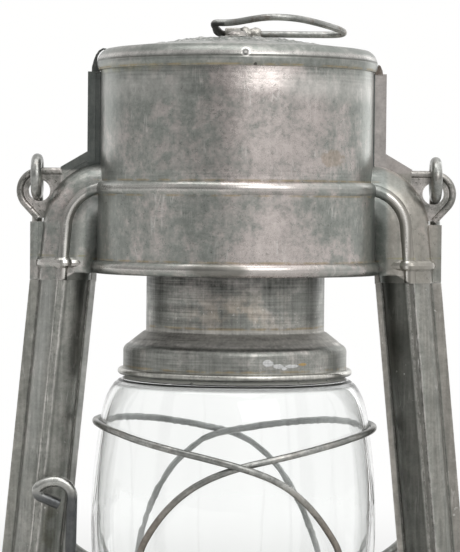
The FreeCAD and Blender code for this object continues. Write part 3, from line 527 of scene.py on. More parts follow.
def dent_hood(tin):
    tin.dented(1.3)
    shoulder = tin.z.between(hood_high.z - 0.0100, hood_high.z - 0.0005)
    shoulder = shoulder * tin.y.size().between(0.0015, 0.0040)
    tin.relief = tin.relief - shoulder * (0.0006 + tin.clouds * 0.0004)


darken_seams(hood_tin)
dent_hood(hood_tin)
dress(hood_tin.done(), "hood_front", "hood_rear")
print("hood dressed,", len(hood_tin.tree.nodes), "nodes")

# %% [markdown]
# The chimney sits in the heat, so its tin is greyer, with a fine linen of rolling marks. A flake of
# pale solder lies on the skirt, and the lip has a line of stain where it meets the glass.

# %% Chimney, throat plate and globe plate
skirt_low, skirt_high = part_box("chimney_skirt")


def chimney_finish():
    tin = Metal("chimney tin", (0.27, 0.275, 0.255), 0.42)
    x, z = tin.x, tin.z
    tin.rubbed(0.55, (0.38, 0.36, 0.34), 0.34, x.near(0.014, 0.03) * 0.03)
    tin.brushed(1.0, 0.9 + x.near(-0.018, 0.014) * 0.8, 0.7)
    tin.pitted(0.3)
    warm = z.near(skirt_high.z + 0.004, 0.009) * x.near(0.0, 0.022) * tin.patches.between(0.42, 0.6)
    tin.cover(warm * 0.45, (0.42, 0.35, 0.27), 0.4)
    bright_specks = (1 - tin.noise(0.0008, 2)).between(0.66, 0.72) * z.near(skirt_high.z + 0.004, 0.008)
    tin.cover(bright_specks * 0.5, worn_white, 0.3)
    on_tube = z.between(skirt_high.z - 0.001, skirt_high.z)
    middle_shade = x.near(-0.006, 0.011) * on_tube * 0.16
    top_shade = z.between(hood_low.z - 0.0050, hood_low.z) * 0.40
    right_light = x.near(0.0215, 0.0060) * on_tube * 0.20 + x.between(0.008, 0.034) * (1 - on_tube) * 0.36
    tin.shade = tin.shade - middle_shade - top_shade + right_light
    tin.mottled(0.6)
    tin.grimed_and_shaded(0.0020, 0.2)
    # The cone is painted lighter, as painted light, and is less bare metal.
    on_cone = z.between(skirt_low.z + 0.0090, skirt_low.z + 0.0098) * (1 - on_tube)
    tin.cover(on_cone * 0.8, (0.44, 0.425, 0.395), 0.5, 0.45)
    # Painted highlight where the cone meets the skirt.
    corner_glint = z.near(skirt_low.z + 0.0098, 0.0008) * tin.patches.between(0.40, 0.56)
    tin.cover(corner_glint * 0.7, (0.62, 0.60, 0.57), 0.25)
    # Painted light along the lip bead.
    tin.cover(z.near(skirt_low.z + 0.0014, 0.0014) * 0.9, (0.56, 0.55, 0.51), 0.26, 1.0)
    tin.edge_worn(0.0006, 0.5)
    tin.stained((skirt_low.z + 0.0027, skirt_high.z - 0.0004), 0.0006, 1.0, 0.6)
    flake = tin.spot(9.6, 167.6, 1.6, 1.15)
    for place in ((12.4, 166.6, 1.7, 0.7), (14.2, 166.0, 1.0, 0.6), (16.6, 166.6, 2.3, 0.5)):
        flake = flake.most(tin.spot(*place))
    tin.cover(tin.spot(19.6, 167.1, 1.2, 0.4), (0.42, 0.30, 0.14), 0.5)
    tin.cover(flake, (0.62, 0.62, 0.62), 0.5, 0.1)
    tin.relief = tin.relief + flake * 0.00008
    tin.dented(0.5)
    return tin.done()


dress(chimney_finish(), "chimney_skirt", "chimney_tube", "chimney_bridge", "throat_plate", "globe_plate")
print("skirt from", round(skirt_low.z, 4), "to", round(skirt_high.z, 4))

# %% [markdown]
# The raised disc on the lid is rougher than the rest: it was hot for years, and its tin has crusted into
# small bright and dark lumps. The crease inside the lid's bead is darker, with dirt and painted shade. A
# bright band along the bead's roll is worn tin and a painted highlight, above a groove of painted shade.
# A dimple on the front is drawn only in colour, a dark ring of painted shade in a ring of painted
# highlight, and a nick is a dark spot of painted shade.

# %% The lid's crusted disc
def lid_finish():
    tin = Metal("lid tin", (0.30, 0.315, 0.29), 0.35)
    x, y, z, radius = tin.x, tin.y, tin.z, tin.radius
    tin.rubbed(0.53, (0.46, 0.43, 0.41), 0.28)
    tin.pitted(0.35)
    tin.scratched(0.4)
    on_disc = 1 - radius.between(0.0275, 0.0305)
    crust = tin.noise(0.0016, 3, roughness=0.75)
    tin.cover(on_disc * 0.6, (0.34, 0.36, 0.335), 0.45)
    tin.cover(on_disc * crust.between(0.53, 0.62) * 0.9, worn_white, 0.32)
    tin.cover(on_disc * (1 - crust).between(0.54, 0.63) * 0.8, pit_dark, 0.5)
    # The crease: dirt and painted shade.
    crease = radius.near(0.0389, 0.0007) * (0.4 + tin.patches)
    tin.cover(crease.math("MINIMUM", 1.0) * 0.75, (0.07, 0.07, 0.06), 0.5)
    roll = lid_low.z + 0.0037
    side = z.between(lid_low.z - 0.001, lid_low.z) * radius.between(0.0392, 0.0398)
    tin.cover(side * 0.45, (0.22, 0.23, 0.215), 0.36)
    # Worn tin and a painted highlight on the roll, and painted shade in the groove below it.
    tin.cover(z.near(roll, 0.0010) * 0.6, (0.56, 0.53, 0.51), 0.22, 1.0)
    groove = z.near(roll - 0.0010, 0.0005) * tin.noise(0.012, 2).between(0.30, 0.45)
    tin.cover(groove * 0.7, (0.09, 0.085, 0.075), 0.45)
    tin.mottled(0.7)
    tin.stained((lid_low.z + 0.0003,), 0.0005, 1.0, 0.7)
    damp = z.near(lid_low.z, 0.0018) * tin.patches.between(0.42, 0.62)
    tin.cover(damp * 0.4, (0.27, 0.25, 0.16), 0.42)
    tin.edge_worn(0.0006, 0.35)
    # A dimple drawn in painted shade and painted highlight, and a nick in painted shade.
    ring_away = length(x - 0.0022, z - roll)
    on_front = (0 - y).between(0.0, 0.01)
    tin.cover(ring_away.near(0.0006, 0.0006) * on_front * 0.7, (0.05, 0.05, 0.05), 0.4)
    tin.cover(ring_away.near(0.0012, 0.0004) * on_front * 0.7, worn_white, 0.25, 1.0)
    tin.cover(tin.spot(4.9, (lid_low.z + 0.0002) * 1000, 0.5, 0.6) * 0.8, (0.04, 0.035, 0.03), 0.5)
    tin.dented(1.0)
    tin.relief = tin.relief + on_disc * crust * 0.0008 - groove * 0.00012
    return tin.done()


dress(lid_finish(), "hood_lid")
print("lid from", round(lid_low.z, 4), "to", round(lid_high.z, 4))

# %% [markdown]
# The crust stands up in real lumps. A ring of faces is laid on the lid: its points are dropped onto the
# lid from above, then lifted by noise, and the sheet is given a thickness so that it closes.

# %% The crust
lump_height, lumps_per_metre = 0.00048, 420
crust_thickness, crust_sunk = 0.00025, 0.00008


def smooth(mesh):
    for face in mesh.faces:
        face.smooth = True


def crust_sheet():
    lid = nodes["hood_lid"]
    into_lid = lid.matrix_world.inverted()
    steps, rings = 144, 26
    inner, outer = 0.0090, 0.0295
    mesh = bmesh.new()
    line = [mesh.verts.new((inner + (outer - inner) * i / rings, 0, 0)) for i in range(rings + 1)]
    edges = [mesh.edges.new(pair) for pair in zip(line, line[1:])]
    bmesh.ops.spin(mesh, geom=line + edges, cent=(0, 0, 0), axis=(0, 0, 1), dvec=(0, 0, 0),
                   angle=math.tau, steps=steps, use_merge=True)
    for vert in mesh.verts:
        above = Vector((vert.co.x, vert.co.y, lid_high.z + 0.01))
        place = lid.ray_cast(into_lid @ above, into_lid.to_3x3() @ Vector((0, 0, -1)))[1]
        ground = (lid.matrix_world @ place).z
        share = (vert.co.xy.length - inner) / (outer - inner)
        fade = min(1.0, share * 5, (1 - share) * 4)
        lumps = noise.fractal(vert.co * lumps_per_metre, 0.8, 2.2, 3) + 0.25
        vert.co.z = ground - crust_sunk + lump_height * fade * max(0.0, lumps)
    bmesh.ops.recalc_face_normals(mesh, faces=mesh.faces)
    if mesh.faces[:][0].normal.z < 0:
        bmesh.ops.reverse_faces(mesh, faces=mesh.faces)
    bmesh.ops.solidify(mesh, geom=mesh.faces[:], thickness=crust_thickness)
    bmesh.ops.recalc_face_normals(mesh, faces=mesh.faces)
    smooth(mesh)
    return mesh


def crust_finish():
    tin = Metal("crust tin", (0.33, 0.35, 0.325), 0.42)
    tin.rubbed(0.50, (0.46, 0.45, 0.43), 0.30)
    lumps = tin.noise(0.0014, 3, roughness=0.7)
    tin.cover(lumps.between(0.54, 0.62) * 0.85, worn_white, 0.30, 1.0)
    tin.cover((1 - lumps).between(0.54, 0.62) * 0.75, pit_dark, 0.5)
    tin.mottled(0.9)
    return tin.done()


add_piece("lid_crust", crust_sheet(), "root", "hood_tin", crust_finish())

# %% [markdown]
# The side tubes are darker than the hood. Each has a lobe on either side of a folded ridge, and the lobe
# that faces the globe is darker, with soot and painted shade, more on the right tube than on the left, and
# a painted shadow of the lever's hook lies on the left tube. The tube leans, so "beside", the distance
# from the ridge, is worked out from the height, and every mask is written in it.

# %% Soot and painted shade on the inner lobe
ridge_top, ridge_slope = 0.0519, 0.095


def soot_and_shade_lobe(tin, beside, soot_and_shade_share):
    z = tin.z
    inner_lobe = (0 - beside).between(0.0012, 0.0018) * (1 - (0 - beside).between(0.0079, 0.0083))
    lower = 1 - z.between(0.120, 0.175) * 0.45
    # Soot and painted shade on the inner lobe, more towards the top.
    soot_and_shade = inner_lobe * (0.75 + (tin.clouds - 0.5) * 1.2) * soot_and_shade_share
    tin.cover(soot_and_shade * (1.45 - lower * 0.45), (0.05, 0.052, 0.044), 0.48)
    # A painted shadow of the lever's hook.
    hook_shadow = (0 - beside).near(0.0040, 0.0030) * z.near(0.1150, 0.0120) * (0 - tin.x).between(0.0, 0.01)
    hook_shadow = hook_shadow.between(0.0, 0.5) * tin.patches.between(0.38, 0.56)
    tin.cover(hook_shadow * 0.6, (0.085, 0.085, 0.055), 0.5)
    # Soot and painted shade at the top of the inner lobe.
    top_soot_and_shade = tin.x.size().near(0.0462, 0.0030) * z.between(0.177, 0.187) * inner_lobe
    tin.cover(top_soot_and_shade * 0.75, (0.050, 0.053, 0.047), 0.5)


print("ridge leans by", round(math.degrees(math.atan(ridge_slope)), 1), "degrees")

# %% [markdown]
# The ridge is two sheets folded over each other. Its edges are worn bright in broken lines on the left
# tube, and soot covers it on the right one, where a few white streaks are left. The gutters beside it and
# the folds at the flanges are darker, with dirt and painted shade. The broken lines are a noise drawn out
# upwards, so they run along the ridge.

# %% The folded ridge
def wear_ridge(tin, beside, crest_soot):
    on_ridge = tin.y.size().between(0.0072, 0.0078)
    crest = on_ridge * beside.near(0.0, 0.0016)
    tin.cover(crest.between(0.0, 0.5) * crest_soot * 0.8, (0.075, 0.07, 0.06), 0.45)
    beads = beside.near(0.0011, 0.0005).most(beside.near(-0.0011, 0.0004) * (1 - crest_soot)) * on_ridge
    broken = tin.noise(0.0015, 2, tin.stretched(1, 1, 0.15)).between(0.36, 0.54)
    tin.cover(beads * broken * (0.8 - crest_soot * 0.5), (0.60, 0.58, 0.55), 0.25, 1.0)
    # Dirt and painted shade in the gutters and folds.
    gutters = beside.near(-0.0019, 0.0006).most(beside.near(0.0021, 0.0005) * 0.5) * on_ridge
    folds = beside.near(0.0068, 0.0005).most(beside.near(-0.0081, 0.0005))
    tin.cover(gutters.most(folds) * 0.6, dirt_and_shade, 0.55, 0.3)
    streak = tin.noise(0.0011, 2, tin.stretched(1, 1, 0.2)).between(0.52, 0.58)
    white = beside.near(0.0008, 0.0009) * tin.z.near(0.168, 0.012) * tin.x.between(0.0, 0.01)
    tin.cover(white * streak * on_ridge * 0.8, (0.78, 0.77, 0.74), 0.35)


tube_low, tube_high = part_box("air_tube_right")
print("ridge at the foot", round(ridge_top + (hood_low.z - tube_low.z) * ridge_slope, 4))

# %% [markdown]
# The flanges get a tone of their own. The outer lobe and the inner flange are painted lighter, as
# painted light, most on the left tube, and the right tube's outer lobe is browner. One function makes all
# three finishes from how sooty the lobe and the ridge are, so the tubes stay of one kind.

# %% Tubes
def flange_tone_and_painted_light(tin, beside, crest_soot):
    flanges = beside.between(0.0070, 0.0074).most((0 - beside).between(0.0083, 0.0087))
    tin.cover(flanges * 0.35, (0.30 + crest_soot * 0.05, 0.29, 0.26), 0.36)
    # Painted light on the outer lobe and the inner flange, less on a sooty tube.
    light_share = 1 - crest_soot * 1.3
    outer_lobe = beside.near(0.0037, 0.0030)
    lobe_light = outer_lobe * light_share * (0.20 + tin.z.between(0.130, 0.165) * 0.55)
    tin.cover(lobe_light, (0.46, 0.465, 0.44), 0.30)
    tin.cover(outer_lobe * crest_soot * 0.45, (0.25, 0.235, 0.21), 0.36)
    tin.cover((0 - beside).between(0.0083, 0.0087) * light_share * 0.6, (0.46, 0.465, 0.45), 0.32)


def tube_finish(name, soot_and_shade_share, crest_soot):
    tin = Metal(name, (0.285, 0.29, 0.265), 0.40)
    tin.rubbed(0.53, (0.36, 0.35, 0.325), 0.34)
    tin.brushed(0.7, 0.15, 1.0)
    tin.pitted(0.3)
    tin.scratched(0.4, (0.1, -0.12))
    beside = tin.x.size() - (ridge_top + (hood_low.z - tin.z) * ridge_slope)
    soot_and_shade_lobe(tin, beside, soot_and_shade_share)
    wear_ridge(tin, beside, crest_soot)
    flange_tone_and_painted_light(tin, beside, crest_soot)
    pale = (1 - tin.noise(0.0016, 2)).between(0.745, 0.760)
    tin.cover(pale * 0.8, (0.60, 0.59, 0.56), 0.4)
    tin.mottled(0.55, 0.8)
    tin.grimed_and_shaded(0.0020, 0.35)
    tin.edge_worn(0.0006, 0.5)
    tin.dented(0.5)
    return tin.done()


left_tube_tin = tube_finish("left tube tin", 0.22, 0.0)
right_tube_tin = tube_finish("right tube tin", 0.76, 0.75)
dress(left_tube_tin, "air_tube_left")
dress(right_tube_tin, "air_tube_right")
dress(tube_finish("chamber tin", 0.0, 0.0), "air_chamber")
print("tubes up to", round(tube_high.z, 4))

# %% [markdown]
# The tank is the same tin as the hood, rubbed all round. The small fittings are plain steel, darker and
# with brighter edges.

# %% Tank and fittings
tank_seams = (0.0034, 0.0345)


def tank_finish():
    tin = Metal("tank tin", dull_tin, 0.40)
    tin.rubbed(0.50, bright_tin, 0.33)
    tin.pitted(0.75)
    tin.scratched(0.6)
    tin.mottled(1.0)
    tin.grimed_and_shaded(0.0030, 0.8)
    tin.edge_worn(0.0007, 0.55)
    tin.stained(tank_seams, 0.0009, 1.0, 0.8)
    tin.dented(1.0)
    return tin.done()


def fitting_finish():
    tin = Metal("fitting steel", (0.26, 0.255, 0.235), 0.40)
    tin.rubbed(0.51, (0.42, 0.39, 0.37), 0.33)
    tin.pitted(0.9)
    tin.mottled(1.0, 1.3)
    tin.grimed_and_shaded(0.0025, 0.85)
    tin.edge_worn(0.0006, 0.7)
    tin.dented(0.4)
    return tin.done()


dress(tank_finish(), "tank_body", "tank_base", "filler_neck", "filler_cap")
dress(fitting_finish(), "ear_left", "ear_right", "lever_bracket", "lever_pin", "pull_shank")

# %% [markdown]
# Drawn wire is smoother than sheet. It is rubbed bright in patches and rusted brown in others. The guard
# wires are browner at their feet and the rear ones are painted paler, as painted light. The lever is
# painted dark below its hook, as painted shade, with a painted highlight on its top, and the finger loop's
# left leg is painted dark, as painted shade.

# %% Wire
def wire_finish(name, brown, shaded_below=0.0, rear_lightened=0.0, warm_low=0.0):
    wire = Metal(name, (0.28, 0.285, 0.27), 0.36)
    wire.rubbed(0.50, (0.43, 0.43, 0.41), 0.26)
    rust = wire.noise(0.0050, 3, roughness=0.7).between(0.50, 0.64)
    wire.cover(rust * brown, (0.20, 0.155, 0.125), 0.45)
    wire.cover((1 - wire.z.between(0.118, 0.136)) * warm_low, (0.26, 0.215, 0.175), 0.34)
    # Painted shade on the finger loop's left leg.
    loop_leg_shade = wire.z.between(0.262, 0.263) * (1 - wire.z.between(0.2668, 0.2676))
    loop_leg_shade = loop_leg_shade * (0 - wire.x).between(0.0036, 0.0044)
    wire.cover(loop_leg_shade * 0.92, (0.025, 0.025, 0.022), 0.55, 0.3)
    wire.pitted(0.45)
    if shaded_below:
        # Painted shade below the lever's hook, and a painted highlight on its top.
        below_hook_shade = 1 - wire.z.between(shaded_below - 0.0045, shaded_below)
        wire.cover(below_hook_shade * 0.85, (0.075, 0.08, 0.085), 0.33)
        wire.cover((1 - below_hook_shade) * 0.45, (0.52, 0.52, 0.49), 0.28, 1.0)
    # The rear wires are painted paler: painted light.
    rear_light = wire.y.between(0.0, 0.012) * (1 - wire.z.between(0.150, 0.160))
    wire.cover(rear_light * rear_lightened, (0.50, 0.525, 0.52), 0.5, 0.4)
    wire.mottled(0.7, 0.7)
    wire.relief = wire.relief + wire.patches * 0.00004
    return wire.done()


hook_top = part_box("globe_lever")[1].z
guard_steel = wire_finish("guard wire steel", 0.20, rear_lightened=0.75, warm_low=0.65)
loop_steel = wire_finish("loop wire steel", 0.60)
dress(wire_finish("thick wire steel", 0.30), "bail")
dress(wire_finish("lever steel", 0.25, shaded_below=hook_top - 0.0025), "globe_lever")
print("wire pieces dressed")

# %% [markdown]
# The guard wires and the finger loop were bent by hand, so no two bends are alike. A curve with a round
# bevel gives such a wire. Each guard wire is written as its height over the angle round the globe, from
# its front foot to its rear one, and its distance from the globe's axis follows from that height.

# %% Bent wires
def bent_wire(name, places, thickness, closed=False):
    """The mesh of a round wire along a smooth curve that the places pull towards them."""
    curve = bpy.data.curves.new(name, "CURVE")
    curve.dimensions = "3D"
    curve.bevel_depth = thickness / 2
    curve.bevel_resolution = 4
    curve.use_fill_caps = not closed
    spline = curve.splines.new("NURBS")
    spline.points.add(len(places) - 1)
    for point, place in zip(spline.points, places):
        point.co = (*place, 1.0)
    spline.order_u = 4
    spline.use_cyclic_u = closed
    spline.use_endpoint_u = not closed
    spline.resolution_u = 6 if closed else 3
    holder = bpy.data.objects.new(name, curve)
    mesh = bpy.data.meshes.new_from_object(holder)
    bpy.data.objects.remove(holder)
    mesh.shade_smooth()
    return mesh


guard_wire = 0.0020
globe_gap, crossing_gap = 0.00045, 0.00015
crossing_width = 11
place_step = 0.004
guard_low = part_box("guard_wire_left")[0].z
globe_height = 0.1030
globe_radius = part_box("globe_glass")[1].x
belly_level = guard_low + globe_height * 0.57
shoulder_draw = 0.0022
foot_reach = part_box("globe_plate")[1].y + guard_wire / 2 + 0.00005


def guard_reach(z):
    """How far from the axis a guard wire's middle runs at a height."""
    full = globe_radius + globe_gap + guard_wire / 2
    if z > belly_level:
        return full - shoulder_draw * ((z - belly_level) / (globe_height * 0.25)) ** 2
    return full + (foot_reach - full) * ((belly_level - z) / (belly_level - guard_low)) ** 2


def guard_places(stations, crossings=()):
    """Places along a guard wire every few millimetres. At a crossing it passes outside the other."""
    places = []
    for (angle, share), (next_angle, next_share) in zip(stations, stations[1:]):
        run = math.hypot(math.radians(next_angle - angle) * globe_radius, (next_share - share) * globe_height)
        count = max(1, round(run / place_step))
        for i in range(count):
            at = math.radians(angle + (next_angle - angle) * i / count)
            z = guard_low + globe_height * (share + (next_share - share) * i / count)
            near = [math.exp(-((math.degrees(at) - crossing) / crossing_width) ** 2)
                    for crossing in crossings]
            reach = guard_reach(z) + (guard_wire + crossing_gap) * sum(near)
            places.append((reach * math.sin(at), -reach * math.cos(at), z))
    at = math.radians(stations[-1][0])
    places.append((foot_reach * math.sin(at), -foot_reach * math.cos(at), guard_low))
    return places


# Angle from the front in degrees, and height as a share of the globe's
left_loop = [(51.5, 0), (50.5, 0.13), (48.5, 0.33), (45.6, 0.44), (43.1, 0.512), (35.6, 0.583), (31.1, 0.621),
             (26.8, 0.652), (20.8, 0.688), (13.1, 0.719), (5.7, 0.740), (-2, 0.757), (-12.5, 0.773),
             (-32.5, 0.799), (-53.5, 0.824), (-72, 0.837), (-90, 0.841), (-108, 0.839), (-126, 0.831),
             (-146, 0.816), (-162, 0.797), (-174, 0.779), (-182, 0.763), (-188.4, 0.738), (-195, 0.701),
             (-201, 0.655), (-205, 0.614), (-209, 0.566), (-213, 0.510), (-218.8, 0.423), (-224.5, 0.30),
             (-229, 0.15), (-231.5, 0)]
right_loop = [(-51.5, 0), (-50, 0.13), (-45, 0.33), (-36.4, 0.517), (-32, 0.567), (-27.7, 0.608),
              (-21.8, 0.653), (-16, 0.687), (-8.7, 0.717), (-1.5, 0.738), (5.7, 0.753), (13.1, 0.764),
              (24.6, 0.780), (37.6, 0.797), (54.1, 0.814), (72, 0.824), (90, 0.828), (108, 0.829),
              (130, 0.824), (152, 0.808), (165.4, 0.794), (177.7, 0.781), (186, 0.770), (194, 0.750),
              (200.3, 0.718), (206.8, 0.674), (212.2, 0.624), (215.9, 0.578), (219.7, 0.524),
              (222.3, 0.478), (224.8, 0.421), (228, 0.29), (230.5, 0.13), (231.5, 0)]
add_piece("guard_wire_over", bent_wire("guard_over", guard_places(left_loop, (2, -179)), guard_wire),
          "globe_cage", "wire_steel", guard_steel, "guard_wire_left")
add_piece("guard_wire_under", bent_wire("guard_under", guard_places(right_loop), guard_wire),
          "globe_cage", "wire_steel", guard_steel, "guard_wire_right")

# %% [markdown]
# The finger loop lies in a plane that tilts up towards the front. Its wire is straight only in the
# strap. The strap is a folded sheet, squeezed into lumps where it grips the bar: a profile is spun about
# the bar, and a little noise dents it. A flat tongue of the sheet stands in front of the roll.

# %% Finger loop and strap
bar_y, bar_z = 0.0054, 0.26456
loop_tilt = math.radians(11.4)
loop_wire = 0.0020


def loop_places(corners):
    """Places in space, from corners in millimetres in the loop's tilted plane."""
    return [(x / 1000, bar_y + y / 1000 * math.cos(loop_tilt), bar_z - y / 1000 * math.sin(loop_tilt))
            for x, y in corners]


loop_corners = [(-3.0, 0), (3, 0), (12, 0), (20, 0), (25.5, 0), (29.8, 0), (32.4, -1.7), (31.2, -5.4),
                (26.8, -10.4), (22.0, -15.0), (17.2, -18.5), (11.6, -19.8), (7.0, -18.9), (2.6, -15.8),
                (-1.4, -12.9), (-4.6, -12.4), (-7.3, -12.9), (-7.1, -9), (-6.0, -4.5), (-5.2, -0.9),
                (-4.4, 0)]
end_corners = [(-6.9, -12.2), (-6.8, -8), (-6.6, -3), (-5.9, -0.6), (-4.6, -0.1)]
add_piece("finger_loop", bent_wire("finger_loop", loop_places(loop_corners), loop_wire, closed=True),
          "lift_ring", "wire_steel", loop_steel, "lift_ring")
add_piece("loop_end", bent_wire("loop_end", loop_places(end_corners), loop_wire), "lift_ring",
          "wire_steel", loop_steel)


def round_edges(mesh, edges, width, segments):
    bmesh.ops.bevel(mesh, geom=edges, offset=width, segments=segments, profile=0.5, affect="EDGES",
                    material=-1)


def add_block(mesh, low, high, rounding):
    """A box between two corners with its edges rounded."""
    made = bmesh.ops.create_cube(mesh, size=1.0)["verts"]
    bmesh.ops.scale(mesh, vec=[h - l for l, h in zip(low, high)], verts=made)
    bmesh.ops.translate(mesh, vec=[(h + l) / 2 for l, h in zip(low, high)], verts=made)
    round_edges(mesh, list({edge for vert in made for edge in vert.link_edges}), rounding, 2)


def rolled_strap():
    strap_low, strap_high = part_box("ring_strap")
    sheet = 0.0008
    roll_radius = 0.00186
    bore = loop_wire / 2 + 0.00006
    dent_depth, dents_per_metre = 0.00025, 700
    profile = [(-3.9, 1.55), (-3.5, 1.86), (-0.4, 1.86), (0.5, 1.60), (1.1, 1.80), (2.0, 2.35), (3.0, 2.25),
               (3.7, 1.65), (4.3, 1.75), (5.2, 2.05), (6.2, 1.90), (7.0, 1.45)]
    mesh = bmesh.new()
    outline = [mesh.verts.new((x / 1000, 0, r / 1000)) for x, r in profile]
    outline += [mesh.verts.new((x / 1000, 0, bore)) for x in (7.0, -3.9)]
    edges = [mesh.edges.new(pair) for pair in zip(outline, outline[1:] + outline[:1])]
    bmesh.ops.spin(mesh, geom=outline + edges, cent=(0, 0, 0), axis=(1, 0, 0), dvec=(0, 0, 0),
                   angle=math.tau, steps=28, use_merge=True)
    for vert in mesh.verts:
        away = Vector((0, vert.co.y, vert.co.z))
        if away.length > bore * 1.2:
            vert.co += away.normalized() * noise.noise(vert.co * dents_per_metre) * dent_depth
    bmesh.ops.translate(mesh, vec=(0, bar_y, bar_z), verts=mesh.verts)
    add_block(mesh, strap_low, (strap_high.x, bar_y, strap_low.z + sheet), 0.0002)
    front = bar_y - roll_radius
    tongue_low = (-0.0034, front - sheet, strap_low.z + sheet / 2)
    add_block(mesh, tongue_low, (0.0012, front + 0.0002, bar_z + 0.0017), 0.0003)
    bmesh.ops.recalc_face_normals(mesh, faces=mesh.faces)
    smooth(mesh)
    return mesh


def strap_finish():
    tin = Metal("strap tin", (0.30, 0.30, 0.275), 0.42)
    tin.rubbed(0.48, (0.46, 0.44, 0.405), 0.35)
    fold = tin.x.near(0.0012, 0.0009).most(tin.x.near(0.0040, 0.0005) * 0.7)
    tin.cover(fold * 0.8, (0.05, 0.05, 0.045), 0.5)
    tin.mottled(0.9, 1.4)
    tin.grimed_and_shaded(0.0014, 0.7)
    tin.edge_worn(0.0004, 0.5)
    return tin.done()


add_piece("folded_strap", rolled_strap(), "chimney", "fitting_steel", strap_finish(), "ring_strap")

# %% [markdown]
# Two small ends of sheet finish the outline. Each side seam ends in a tongue that was hammered against
# the lid's bead, long on the left and short on the right. Each tube's inner flange slips up behind the
# hood's rim. Both are flat outlines, so a face is drawn from its corners and extruded to its thickness.

# %% Seam tongues and flange tips
def plate(corners, side, thickness):
    """A plate from corners in millimetres, on one side of the lantern and centred on its middle plane."""
    mesh = bmesh.new()
    face = mesh.faces.new([mesh.verts.new((side * x / 1000, -thickness / 2, z / 1000)) for x, z in corners])
    made = bmesh.ops.extrude_face_region(mesh, geom=[face])["geom"]
    moved = [item for item in made if isinstance(item, bmesh.types.BMVert)]
    bmesh.ops.translate(mesh, vec=(0, thickness, 0), verts=moved)
    bmesh.ops.recalc_face_normals(mesh, faces=mesh.faces)
    round_edges(mesh, mesh.edges[:], 0.00008, 1)
    return mesh


def tongue_finish(name, colour):
    tin = Metal(name, colour, 0.40)
    tin.rubbed(0.58, (0.26, 0.24, 0.22), 0.34)
    tin.mottled(0.8)
    tin.edge_worn(0.0004, 0.5)
    return tin.done()


long_tongue = [(41.0, 252.3), (43.6, 252.3), (43.55, 254.0), (43.0, 256.0), (42.4, 257.6), (41.5, 258.9),
               (40.3, 259.6), (39.2, 259.5), (39.3, 259.1), (40.3, 259.15), (41.3, 258.3), (41.9, 257.2),
               (42.05, 256.1), (41.9, 254.6), (41.2, 253.0)]
short_tongue = [(41.0, 252.3), (43.6, 252.3), (43.4, 253.6), (42.8, 255.0), (42.2, 255.4), (41.95, 254.5),
                (41.2, 253.0)]
flange_tip = [(41.8, 189.8), (44.0, 189.8), (44.2, 192.6), (41.7, 192.6)]
seam_thickness, tip_thickness = 0.0022, 0.0012
# The left tongue's near black is also painted shade under the lid's bead.
add_piece("seam_tongue_left", plate(long_tongue, -1, seam_thickness), "root", "hood_tin",
          tongue_finish("dark seam tin", (0.07, 0.075, 0.07)))
add_piece("seam_tongue_right", plate(short_tongue, 1, seam_thickness), "root", "hood_tin",
          tongue_finish("brown seam tin", (0.15, 0.125, 0.105)))
add_piece("flange_tip_left", plate(flange_tip, -1, tip_thickness), "root", "tube_tin", left_tube_tin)
add_piece("flange_tip_right", plate(flange_tip, 1, tip_thickness), "root", "tube_tin", right_tube_tin)

# %% [markdown]
# The burner is brass that heat has browned towards the top.

# %% Burner brass
def brass_finish():
    paint = Paint("burner brass", Metallic=1.0)
    heat = paint.z.between(0.058, 0.076)
    clouds = paint.noise(0.007, 4)
    specks = paint.noise(0.0008, 4, roughness=0.65)
    colour = paint.mixed(clouds.between(0.38, 0.66), (0.56, 0.43, 0.22), (0.36, 0.25, 0.13))
    colour = paint.mixed(heat * 0.7, colour, (0.16, 0.11, 0.08))
    colour = paint.shaded(colour, 0.8 + specks * 0.35)
    roughness = 0.34 + (specks - 0.5) * 0.2 + heat * 0.15
    return paint.finish(Base_Color=colour, Roughness=roughness, Normal=paint.bumped(specks * 0.00002))


dress(brass_finish(), "burner_seat", "burner_base", "burner_cone", "wick_tube", "wick_shaft", "star_wheels",
      "wick_knob")

# %% [markdown]
# The globe is clear pressed glass, 2 mm thick, with faint waves that bend what lies behind it. Where the
# chimney's skirt sits on its neck, rings are painted: a white ring of painted highlight, and a black line
# and a dark grey band of painted reflection of the skirt. They are opaque, so a second shader is mixed in
# over the glass along those heights.

# %% Glass
seat_level = skirt_low.z - 0.0006


def glass_finish():
    paint = Paint("clear glass", Metallic=0.0, IOR=1.5, Transmission_Weight=1.0)
    z = paint.z
    waves = paint.noise(0.016, 2, paint.stretched(1, 1, 0.45))
    film = paint.noise(0.010, 5, roughness=0.6).between(0.45, 0.85)
    paint.finish(Base_Color=(0.985, 0.992, 0.988, 1.0), Roughness=film * 0.03,
                 Normal=paint.bumped(waves * 0.00014))
    crust = paint.noise(0.0020, 3, roughness=0.7)
    # A painted highlight, and painted reflections of the skirt, on the glass below its seat.
    white = z.near(seat_level, 0.0006).between(0.0, 0.4)
    painted_dark_line = z.near(seat_level - 0.0010, 0.00035).between(0.0, 0.5)
    grey_reflection_ring = z.near(seat_level - 0.0021, 0.0007)
    colour = paint.mixed(white, (0.11, 0.12, 0.105), (0.90, 0.90, 0.84))
    colour = paint.mixed(painted_dark_line, colour, (0.02, 0.02, 0.018))
    seat = white.most(painted_dark_line).most(grey_reflection_ring * 0.55) * crust.between(0.22, 0.40)
    paint.overlaid(seat, paint.node("BsdfPrincipled", {}, {"Base Color": colour, "Roughness": 0.35}))
    return paint.material


dress(glass_finish(), "globe_glass")

# %% [markdown]
# The gasket in the cap is dark cork rubber, with a fine crumb.

# %% Gasket
def gasket_finish():
    paint = Paint("gasket cork", Metallic=0.0)
    crumb = paint.noise(0.0007, 3)
    colour = paint.mixed(crumb.between(0.3, 0.7), (0.05, 0.035, 0.025), (0.16, 0.12, 0.085))
    return paint.finish(Base_Color=colour, Roughness=0.85, Normal=paint.bumped(crumb * 0.0001))


dress(gasket_finish(), "cap_gasket")

